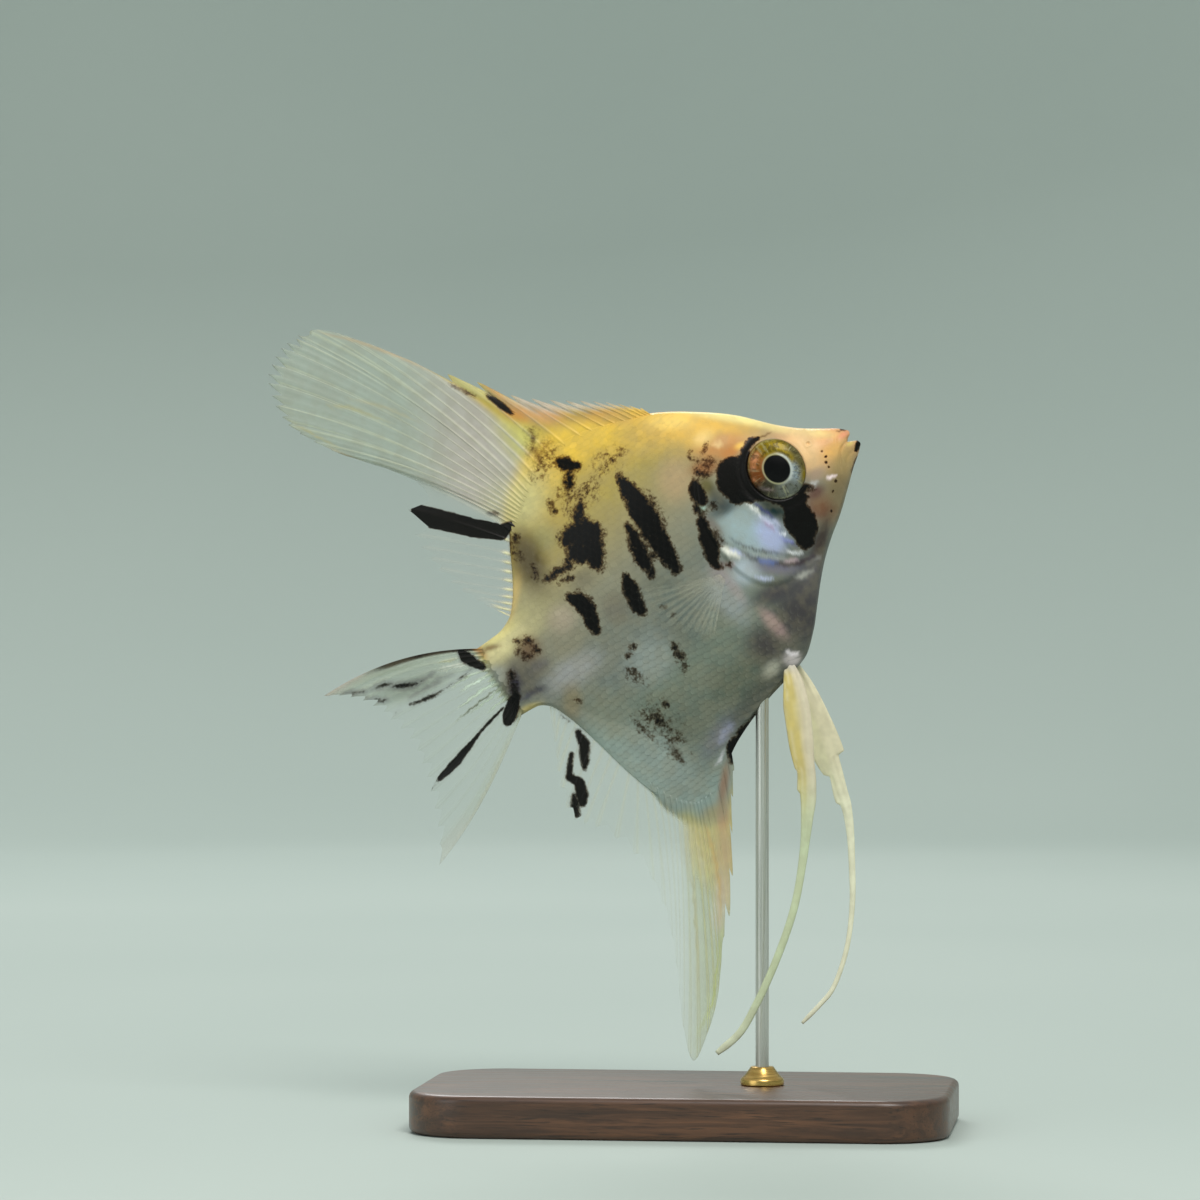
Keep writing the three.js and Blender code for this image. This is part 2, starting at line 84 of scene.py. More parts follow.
def curve_at(points, t):
    """Points of a centripetal Catmull-Rom curve at t from 0 to 1, as three.js gives them."""
    p = np.array(points, float)
    place = np.clip(np.asarray(t, float), 0, 1) * (len(p) - 1)
    i = np.minimum(place.astype(int), len(p) - 2)
    w = (place - i)[:, None]
    full = np.vstack([2 * p[0] - p[1], p, 2 * p[-1] - p[-2]])
    p0, p1, p2, p3 = full[i], full[i + 1], full[i + 2], full[i + 3]
    d0, d1, d2 = (
        np.maximum(np.linalg.norm(b - a, axis=1) ** 0.5, 1e-4)[:, None]
        for a, b in ((p0, p1), (p1, p2), (p2, p3))
    )
    m1 = ((p1 - p0) / d0 - (p2 - p0) / (d0 + d1) + (p2 - p1) / d1) * d1
    m2 = ((p2 - p1) / d1 - (p3 - p1) / (d1 + d2) + (p3 - p2) / d2) * d1
    return (
        p1 + m1 * w + (-3 * p1 + 3 * p2 - 2 * m1 - m2) * w**2 + (2 * p1 - 2 * p2 + m1 + m2) * w**3
    )


def smooth_line(points, pieces=28):
    return curve_at(points, np.linspace(0, 1, pieces + 1))


def nearest(line, x, z):
    """For each place, its distance from a line, signed positive on the line's left, and how far
    along the line (0 to 1) the nearest place is."""
    best = np.full(np.shape(x), np.inf)
    sign, along = np.ones_like(best), np.zeros_like(best)
    pieces = len(line) - 1
    for k, (a, b) in enumerate(zip(line[:-1], line[1:])):
        dx, dz = b[0] - a[0], b[1] - a[1]
        t = np.clip(((x - a[0]) * dx + (z - a[1]) * dz) / max(dx * dx + dz * dz, 1e-9), 0, 1)
        d = np.hypot(x - a[0] - t * dx, z - a[1] - t * dz)
        closer = d < best
        best = np.where(closer, d, best)
        sign = np.where(closer, np.sign(dx * (z - a[1]) - dz * (x - a[0])), sign)
        along = np.where(closer, (k + t) / pieces, along)
    return best * np.where(sign == 0, 1, sign), along


def step(low, high, value):
    t = np.clip((value - low) / (high - low), 0, 1)
    return t * t * (3 - 2 * t)


def hill(distance, width):
    return np.exp(-((distance / width) ** 2))


# ---------- the fish's frame ----------
rod_low, rod_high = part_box("stand_rod")
TAIL_ROOT = (
    (rod_low.x + rod_high.x) / 2 / MM - ROD["x"] * math.cos(PITCH) + ROD["z"] * math.sin(PITCH),
    rod_high.z / MM - ROD["into_body"] - ROD["x"] * math.sin(PITCH) - ROD["z"] * math.cos(PITCH),
)


def to_world(p):
    """Points of the fish frame, in millimetres, as points of the part frame, in metres."""
    x, y, z = np.moveaxis(np.asarray(p, float), -1, 0)
    cos, sin = math.cos(PITCH), math.sin(PITCH)
    return np.stack([TAIL_ROOT[0] + x * cos - z * sin, y, TAIL_ROOT[1] + x * sin + z * cos], -1) * MM


def seen(x, y, z):
    """The u and w of a place: its x and z in the photo. Both flanks are taken alike."""
    across, _, up = np.moveaxis(to_world(np.stack([x, y, z], -1)) / MM, -1, 0)
    cos, sin = math.cos(PHOTO["turn"]), math.sin(PHOTO["turn"])
    right, up = across - PHOTO["aim"][0], up - PHOTO["aim"][1]
    nearer = 1 + (right * sin + np.abs(y) * cos) / PHOTO["distance"]
    right = (right * cos - np.abs(y) * sin) * nearer - (TAIL_ROOT[0] - PHOTO["aim"][0]) * cos
    up = up * nearer - (TAIL_ROOT[1] - PHOTO["aim"][1])
    return (
        right * math.cos(PITCH) + up * math.sin(PITCH), up * math.cos(PITCH) - right * math.sin(PITCH),
    )


# ---------- the body, with the named profiles of the part's source ----------
back = through([
    [-0.8, 5.4], [2.5, 5.5], [4.6, 6.2], [6.2, 7.7], [8, 10.4], [10, 14], [12, 16.4], [15, 18.6],
    [18, 20.2], [21, 20.7], [24, 20.3], [27, 19.4], [30, 18.2], [33, 16.9], [38, 13.6], [41, 11.1],
    [44.5, 7.3], [46.5, 5.5], [49, 3.75], [50.3, 2.9], [51, 2.15], [51.5, 1.4],
])
belly = through([
    [-0.8, -4.4], [1.6, -4.6], [3, -5.5], [4.2, -8.2], [5.2, -12], [6.3, -17], [7.6, -21.3],
    [9.2, -24.4], [11.2, -25.9], [13.2, -25.8], [15.5, -24.5], [17.8, -22.5], [20, -21.3],
    [25, -19.5], [30, -18.3], [31.8, -17.7], [34.4, -15.6], [36.5, -13.3], [38.3, -11.3],
    [40.2, -9.4], [42.4, -7.6], [44.8, -5.9], [47.2, -3.9], [49.3, -2.1], [50.6, -1.1],
    [51.5, -0.3],
])
flesh_top = through([
    [-0.8, 5], [2.5, 5.2], [5, 5.8], [8, 7.6], [12, 10.4], [16, 12.8], [20, 14.9], [24, 16.3],
    [28, 16.9], [33, 16.6], [38, 13.6], [44.5, 7.3], [49, 3.75], [51.5, 1.4],
])
flesh_bottom = through([
    [-0.8, -4.1], [2, -4.4], [4, -5.8], [6, -8.6], [9, -12.6], [12, -16.2], [15, -18.9],
    [18, -20.2], [22, -19.9], [27, -18.6], [31.8, -17.5], [36.5, -13.3], [42.4, -7.6],
    [47.2, -3.9], [51.5, -0.3],
])
middle = through([
    [-0.8, 0.5], [10, 0], [20, -1], [28, -1], [35, 0.6], [41, 2], [46, 1.6], [51.5, 0.7],
])
half_width = through([
    [-0.8, 1], [0, 1.15], [3, 1.55], [8, 2.3], [15, 3.3], [22, 4.15], [28, 4.7], [33, 4.9],
    [37, 4.75], [41, 4.2], [45, 3.15], [48, 2.15], [50, 1.5], [51.5, 0.9],
])
SECTION_FULLNESS = 0.62
SHEATH = {"root": 1.0, "edge": 0.42, "round": 0.45}
EYE = {"x": 41.6, "z": 2.65, "y": 3.5, "long": 3.4, "tall": 3.8, "dome": 1.2, "toe": 4}


def thickness(x, z):
    """Half the body's thickness at a place on its side, as in the part's source."""
    up = z >= middle(x)
    flesh = np.where(up, flesh_top(x), flesh_bottom(x))
    edge = np.where(up, back(x), belly(x))
    height = np.minimum(1, np.abs(z - middle(x)) / np.maximum(np.abs(flesh - middle(x)), 1e-6))
    lens = half_width(x) * (1 - height**2) ** SECTION_FULLNESS
    beyond = np.clip((z - flesh) / np.where(edge == flesh, 1, edge - flesh), 0, 1)
    root = np.minimum(SHEATH["root"], 0.55 * half_width(x))
    sheath = root + (np.minimum(SHEATH["edge"], root) - root) * np.where(height < 1, 0, beyond)
    inside = np.clip(np.abs(edge - z) / SHEATH["round"], 0, 1)
    return np.cbrt(lens**3 + sheath**3) * np.sqrt(1 - (1 - inside) ** 2)


# Lines on the head, in u and w.
GILL_EDGE = smooth_line([
    [34.6, 9.2], [32.4, 7.2], [30.9, 4.2], [30.3, 1], [30.3, -2], [30.8, -5], [32.2, -7.4],
    [34.6, -8.8], [37.6, -8.9],
])
OPERCLE_EDGE = smooth_line([
    [31.3, -0.9], [32.3, -2.3], [33.6, -3.9], [35.2, -5.3], [36.8, -6.4], [38.2, -7.3],
])
SUBOPERCLE_EDGE = smooth_line([[30.6, -1.1], [31.1, -2.3], [32.3, -4.1], [34.2, -5.9], [36.6, -7.3]])
PREOPERCLE_EDGE = smooth_line([
    [35.9, 3.4], [36.4, 1.5], [37.2, -1], [37.8, -2.6], [37.7, -4.2], [37.4, -5.8], [38.3, -7.0],
    [39.6, -7.6],
])
THROAT_FOLD = smooth_line([[33, -10.2], [36.5, -10.2], [39.6, -8.6], [43, -5.9], [46.4, -3.1]])
JAW_FOLD = smooth_line([[50.4, 1.15], [49.5, 0.95], [48.8, 0.45], [48.2, -0.5], [47.6, -1.6]])
LIP_FOLD = smooth_line([[50.2, 3], [49.5, 2.4], [48.9, 1.5], [48.4, 0.6]])
CHIN_FOLD = smooth_line([[51, -0.35], [49.8, -0.3], [48.9, -0.8], [47.9, -2]])
BROW_FOLD = smooth_line([[37.6, 8], [40.4, 8.1], [43, 7.1], [45.4, 4.6]])
PORES = [(47.1, 1.8), (47.1, 1.0), (46.75, 0.4), (46.7, -0.25), (46.5, -2.1), (45.5, -2.9), (44, -4.8)]
NOSTRIL = (46.2, 3.5)
FOLDS = [  # each with its depth and its width
    (THROAT_FOLD, 0.12, 0.45), (JAW_FOLD, 0.2, 0.16), (LIP_FOLD, 0.1, 0.18),
    (CHIN_FOLD, 0.07, 0.2), (BROW_FOLD, 0.05, 0.5),
]
LIP_SWELLINGS = [((50.6, 2.0), 0.55), ((50.7, 0.25), 0.6)]  # either side of the mouth's cleft


def eye_radius(x, z):
    """The distance from the eye's centre, 1 on the eyeball's rim."""
    return np.hypot((x - EYE["x"]) / EYE["long"], (z - EYE["z"]) / EYE["tall"])


def relief(x, z, full):
    """How far the skin stands out from the plain body: sockets, gill plates, lips and pores.
    full is the half thickness there."""
    u, w = seen(x, full, z)
    r = eye_radius(x, z)
    out = -1.9 * step(0.98, 0.84, r) + 0.12 * hill(r - 1.05, 0.07) - 0.06 * hill(r - 1.22, 0.08)
    away = step(1.05, 1.25, r)  # keeps the other forms out of the eye's socket

    d, t = nearest(GILL_EDGE, u, w)
    ends = np.sin(np.pi * np.clip(t, 0.02, 0.98)) ** 0.4
    plate = 0.3 * np.exp(-d / 3.0) * step(0, 0.3, d)
    gap = -0.22 * np.exp(d / 0.5) * step(0, 0.12, -d)
    out += ends * away * np.where(d > 0, plate, gap)
    d, t = nearest(OPERCLE_EDGE, u, w)
    out += np.sin(np.pi * t) ** 0.5 * (0.12 * hill(d - 0.25, 0.3) - 0.14 * hill(d + 0.2, 0.22))
    d, t = nearest(SUBOPERCLE_EDGE, u, w)
    out += np.sin(np.pi * t) ** 0.5 * 0.08 * hill(d, 0.2)
    d, t = nearest(PREOPERCLE_EDGE, u, w)
    ridge = 0.16 * hill(d - 0.15, 0.35) - 0.16 * hill(d + 0.3, 0.28)
    out += away * np.sin(np.pi * np.clip(t, 0, 1)) ** 0.5 * ridge
    for line, deep, wide in FOLDS:
        d, t = nearest(line, u, w)
        out -= away * deep * np.sin(np.pi * t) ** 0.6 * hill(d, wide)
    for (lip_u, lip_w), wide in LIP_SWELLINGS:
        out += 0.16 * hill(np.hypot(u - lip_u, w - lip_w), wide)
    for pore_u, pore_w in PORES:
        out -= 0.12 * hill(np.hypot(u - pore_u, w - pore_w), 0.13)
    d = np.hypot(u - NOSTRIL[0], w - NOSTRIL[1])
    out += 0.08 * hill(d - 0.34, 0.12) - 0.25 * hill(d, 0.2)
    # the cheek's soft swelling
    out += away * 0.18 * hill(np.hypot((u - 40) / 3.5, (z + 4.5) / 3), 1)
    return out


def skin_half(x, z):
    """Half the body's thickness at the skin, under the scales."""
    full = thickness(x, z)
    room = np.clip(full / 1.1, 0, 1)
    return np.maximum(0, full - COAT * np.clip(full / 0.4, 0, 1) + relief(x, z, full) * room**1.5)


# ---------- markings ----------
def rgb(*channels):
    """An sRGB colour, 0 to 255, as linear light."""
    c = np.array(channels, float) / 255
    return np.where(c <= 0.04045, c / 12.92, ((c + 0.055) / 1.055) ** 2.4)


# The flank's ground colour from belly to back, as w and sRGB: partly the fish's own gold and grey,
# and partly painted shade that darkens the lower flank.
GROUND = [
    (-24, (138, 154, 148)), (-20, (114, 124, 116)), (-15, (108, 116, 104)), (-10, (120, 130, 117)),
    (-5, (120, 127, 121)), (0, (125, 128, 116)), (4, (142, 139, 119)), (8, (158, 146, 106)),
    (12, (170, 151, 86)), (15, (202, 170, 82)), (18, (240, 198, 80)), (22, (234, 194, 78)),
]
# Broad tints: name, colour, strength, centre (u, w), radii along and across, and turn in degrees.
# A few are painted highlights and a painted glint, each marked.
TINTS = [
    ("rear back", (206, 198, 142), 0.9, (13.6, 16.6), (5, 3.2), 30),
    ("back", (178, 158, 86), 0.65, (21.4, 13.6), (5, 3.4), 0),
    ("shoulder gold", (204, 172, 90), 0.7, (30.5, 14.4), (3, 2), -30),
    ("tail stalk", (224, 212, 158), 0.9, (3, 4), (4.6, 1.9), 4),
    ("tail stalk shade", (92, 88, 82), 0.9, (2.6, -0.6), (2.8, 2.7), 10),
    ("tail stalk top", (238, 224, 150), 0.85, (3.4, 5.4), (3.8, 0.8), 8),
    ("tail stalk foot", (196, 178, 112), 0.85, (0.9, -4.2), (1.5, 0.5), -14),
    ("tail root amber", (176, 112, 40), 0.9, (-0.7, 5), (0.7, 1.3), 20),
    ("tail root yellow", (196, 176, 90), 0.8, (-0.7, 3.9), (0.4, 0.7), 0),
    ("tail root pink", (206, 176, 150), 0.9, (-1.2, -4.9), (1.2, 0.5), -20),
    ("tail root grey", (160, 164, 158), 0.7, (-0.4, 1.3), (1.4, 1.3), 0),
    ("above tail stalk", (170, 162, 122), 0.8, (7.6, 6.4), (3.6, 3.2), 40),
    ("rear rim", (222, 190, 122), 0.8, (6.6, 8), (3.4, 0.7), 42),
    ("rear flank", (142, 137, 118), 0.7, (8.4, 0), (4, 2), 0),
    ("rear flank light", (178, 162, 142), 0.75, (10, 2.6), (1.8, 1.6), 0),
    ("rear flank pale", (166, 165, 166), 0.85, (7.2, -3.5), (4, 1.8), 0),
    ("rear anal base", (140, 143, 126), 0.75, (7.8, -10), (2.6, 4.4), 10),
    ("rear edge", (152, 168, 162), 0.85, (7, -17), (2, 7.5), 16),
    ("low flank light", (154, 162, 158), 0.7, (15.8, -7.6), (3.2, 2.6), 0),
    # painted blue-violet glint low on the belly
    ("vent", (120, 124, 138), 0.7, (18, -19.6), (3, 1.3), 20),
    ("belly keel", (78, 78, 72), 0.8, (26, -18), (9, 1.8), 14),
    ("shoulder pink", (190, 160, 122), 0.75, (30.7, 8.8), (2.2, 2.7), -30),
    ("breast light", (156, 162, 164), 0.85, (28, -6.6), (1.8, 3.8), 4),
    ("breast pink", (150, 138, 142), 0.6, (28.6, -3.4), (1, 1.4), 0),
    ("breast shade", (62, 50, 56), 0.8, (28.6, -13.8), (2.6, 2.6), 0),
    ("nape", (236, 188, 92), 0.95, (36.8, 12.9), (7.6, 3.4), -38),
    # the crest's own pale gold, brightened by a painted highlight along it
    ("crest", (255, 236, 158), 0.9, (41.6, 10.2), (11, 0.7), -43),
    ("brow", (198, 136, 78), 0.9, (37.4, 9), (3.4, 1.5), -20),
    ("brow pink", (222, 168, 112), 0.6, (37.8, 9.6), (1.2, 0.7), -20),
    ("brow light", (246, 210, 132), 0.7, (36.2, 11), (1.4, 1), 0),
    ("snout", (230, 166, 110), 1.0, (47.5, 2.9), (5.5, 3.4), -30),
    # painted highlight along the top of the snout
    ("snout top", (255, 234, 156), 0.85, (46.2, 5.4), (4, 0.7), -42),
    ("lores", (240, 200, 146), 0.9, (45.6, 3.4), (2, 3.4), 0),
    ("chin", (190, 158, 100), 0.95, (48.3, -0.8), (3.2, 1.6), 38),
    ("jaw", (126, 110, 80), 0.95, (45.4, -3.6), (3.6, 1.9), 40),
    ("cheek front", (122, 84, 60), 0.95, (43.2, -3.6), (1.7, 2.3), 0),
    ("cheek red", (84, 38, 44), 0.85, (43.7, -1.9), (1.2, 0.7), 0),
    ("cheek lilac", (166, 142, 122), 0.8, (44.9, -0.1), (1.2, 0.7), 0),
    ("throat", (84, 81, 84), 0.97, (36.8, -10.6), (6.5, 3.2), 42),
    ("chin angle", (60, 44, 40), 0.85, (41, -7), (3, 0.9), 40),
    ("throat light", (112, 109, 114), 0.75, (38.2, -9), (1.6, 0.7), 30),
    ("isthmus", (68, 64, 66), 0.9, (33.6, -13.2), (3.2, 3.8), 20),
    ("pelvic base", (226, 214, 218), 0.8, (30.2, -16.9), (1.1, 0.8), -30),
    ("pink patch", (184, 154, 150), 0.8, (30.7, -12), (0.8, 2.4), 8),
    ("upper lip", (234, 152, 116), 0.85, (50.3, 1.95), (0.9, 0.4), 0),
    ("lower lip", (214, 190, 110), 0.8, (50.4, 0.7), (0.5, 0.3), 0),
    ("flank dim", (86, 98, 92), 0.7, (22, -4), (2.4, 5), 0),
    ("belly dim", (76, 86, 72), 0.5, (23.4, -15.4), (3.6, 2.4), 0),
    ("fin root gold", (202, 160, 84), 0.85, (27.6, 20), (4.2, 1.1), -36),
    ("rear mid", (154, 150, 108), 0.7, (13.6, 12), (1.8, 1.8), 0),
    ("mid dim", (112, 106, 90), 0.6, (14.6, 5), (1.6, 1.3), 0),
    ("gill band", (170, 156, 158), 0.6, (29.2, -5.5), (0.7, 2.6), 0),
    ("stalk foot brown", (146, 130, 98), 0.7, (5.4, -6.4), (1.2, 2.4), -35),
    ("mid flank dim", (110, 100, 88), 0.5, (16, 0), (1.8, 2), 0),
    ("low rear", (150, 163, 158), 0.75, (10.6, -17.4), (2.6, 6), 12),
    ("gill foot", (64, 58, 66), 0.85, (32.6, -9), (2.6, 1.3), -10),
    # the nape's gold at the crest's root, brightened by a painted highlight
    ("crest root", (255, 216, 120), 0.8, (34, 15), (3, 1.1), -32),
    ("snout tan", (240, 186, 104), 0.7, (48.2, 1.2), (1.6, 0.9), 10),
    ("pelvic patch", (186, 184, 170), 0.85, (27.5, -16.5), (1.3, 0.8), 12),
    ("anal base web", (180, 178, 124), 0.85, (8.6, -26), (1.6, 1.3), -10),
    ("anal base grey", (158, 150, 120), 0.7, (12, -26.8), (2, 0.9), 0),
    ("anal base brown", (142, 112, 90), 0.85, (15, -24.8), (2.8, 0.6), 48),
    ("brow yellow", (255, 206, 96), 0.8, (39.3, 7.8), (0.8, 0.4), -10),
]
# The silvery gill plates, in the same form.
PEARLS = [
    ("opercle", (172, 191, 196), 1.0, (34, -0.5), (2.6, 3.4), 22),
    ("opercle foot", (170, 188, 196), 0.8, (34.6, -2.6), (1.6, 1.6), 0),
    ("lower opercle", (190, 200, 244), 1.0, (36.3, -3.2), (1.5, 2.3), 0),
    ("subopercle", (192, 202, 212), 0.95, (31.5, -4.9), (1.8, 1.6), -38),
    ("lower plates", (124, 118, 142), 0.85, (34.8, -6.7), (2.6, 0.9), -38),
    ("upper opercle", (80, 91, 92), 0.95, (33.6, 2.7), (2.2, 0.9), -2),
]
UNDER_EYE = ((38.5, -0.7), (1.5, 2.6), 28)  # the dark skin between eye and plates has no shine
# Fine bright and dark lines, most of them on the head: colour, width, strength, and a chain of
# places. Some are painted glints, highlights and shade, each marked.
LINES = [
    # painted shade in the groove along the opercle's edge
    ((78, 84, 84), 0.2, 0.85, [(31.9, -0.3), (32.7, -2), (34, -3.7), (35.2, -4.8), (36.4, -5.8)]),
    ((70, 74, 78), 0.34, 0.9, [(31.9, -2.2), (32.8, -3.9), (33.8, -5.2), (35.2, -6.4), (36.6, -7.3)]),
    ((190, 196, 194), 0.24, 0.7, [(32.4, -2.1), (33.5, -3.9), (34.8, -5.1), (36.4, -6.4)]),
    # painted shadow just behind the preopercle's bright rim
    ((44, 48, 108), 0.2, 0.8, [(36.8, 1.7), (37.1, 0.4), (37.6, -1), (37.9, -1.8)]),
    # painted glint along the preopercle's rim
    ((246, 244, 240), 0.22, 1.0, [(35.9, 1.8), (36.35, 1.2), (36.6, 0.2), (36.8, -0.6)]),
    ((214, 218, 250), 0.3, 1.0, [(36.6, -0.2), (37, -1.3), (37.6, -2.2), (37.9, -3.2)]),
    ((176, 150, 190), 0.24, 0.7, [(36.4, -1.2), (36.9, -2.2), (37, -3)]),
    # painted glint on the preopercle's edge
    ((246, 246, 255), 0.14, 1.0, [(37.2, -3.4), (37.7, -3.9), (38, -4)]),
    ((70, 70, 124), 0.26, 0.7, [(37.2, -4.6), (37.9, -5.2), (38.3, -6.2)]),
    ((150, 156, 216), 0.26, 0.8, [(36.9, -3.9), (37.6, -4.7), (38.2, -5.4)]),
    # painted glint along the preopercle's foot
    ((250, 250, 255), 0.2, 1.0, [(36.8, -5.6), (37.3, -6.2), (37.9, -6.8), (38.6, -7)]),
    ((255, 252, 240), 0.42, 1.0, [(30.3, -0.9), (30.9, -1.7), (31.4, -2.4), (31.9, -3.4)]),
    ((190, 200, 236), 0.24, 0.8, [(31.3, -1.6), (31.9, -2.5), (32.4, -3.4)]),
    # painted blue glint on the lower gill plates
    ((108, 130, 198), 0.34, 0.7, [(33.3, -4.6), (34.1, -5.5), (35.3, -6.5)]),
    # painted blue glint on the lower gill plates
    ((204, 212, 248), 0.3, 0.8, [(31.9, -6.2), (32.7, -7), (33.8, -7.6)]),
    ((214, 186, 196), 0.24, 0.8, [(35.8, -6.6), (36.6, -7), (37.6, -7.6)]),
    ((54, 38, 48), 0.3, 0.9, [(34.8, -6.2), (36, -7.2), (37.6, -7.9), (39.8, -8.1)]),
    # painted pale glint on the throat
    ((186, 184, 176), 0.34, 0.85, [(35.8, -8.9), (36.6, -9.2), (38.4, -9.5)]),
    # small painted glint on the throat
    ((150, 148, 150), 0.24, 0.6, [(39, -8.4), (40, -8.7)]),
    # painted glint below the snout
    ((255, 232, 232), 0.2, 1.0, [(45.6, -1.1), (46.3, -1.4), (47, -1.7)]),
    # painted blue-violet glint low on the belly, over the tint there
    ((148, 152, 176), 0.6, 0.8, [(17, -20.6), (18.4, -19.7), (20.2, -19.2)]),
    ((204, 204, 208), 0.22, 0.8, [(15.2, -22.4), (16.4, -22), (17.4, -21.2)]),
    ((206, 204, 206), 0.3, 0.7, [(43.2, -0.7), (43.9, -0.9), (44.8, -1)]),
    ((255, 244, 250), 0.2, 1.0, [(29.9, -15.5), (30.5, -16.3), (31.3, -16.9)]),
    ((206, 180, 184), 0.24, 0.7, [(29.9, -3), (30.4, -3.4), (31, -3.7)]),
    ((84, 40, 52), 0.3, 0.7, [(29.5, -2.4), (30.1, -3.2), (30.2, -4.2)]),
    ((250, 210, 146), 0.4, 0.8, [(36.5, 9.9), (37.2, 9.4), (37.9, 9.4)]),
    # painted highlight on the nape
    ((250, 210, 140), 0.36, 0.5, [(35, 11.6), (35.9, 11.2), (36.8, 10.6)]),
    ((96, 62, 24), 0.14, 0.8, [(41.4, 7.5), (42.2, 7.3), (43.4, 7)]),
    ((110, 66, 30), 0.12, 0.8, [(49.7, 2.75), (50.4, 2.5), (51, 2.2)]),
    ((110, 70, 26), 0.22, 0.6, [(-1, 5), (0.4, 4.6), (2.2, 3.9)]),
    ((66, 66, 86), 0.3, 0.7, [(-0.6, -2.5), (1, -2.8), (3.4, -3.1)]),
]
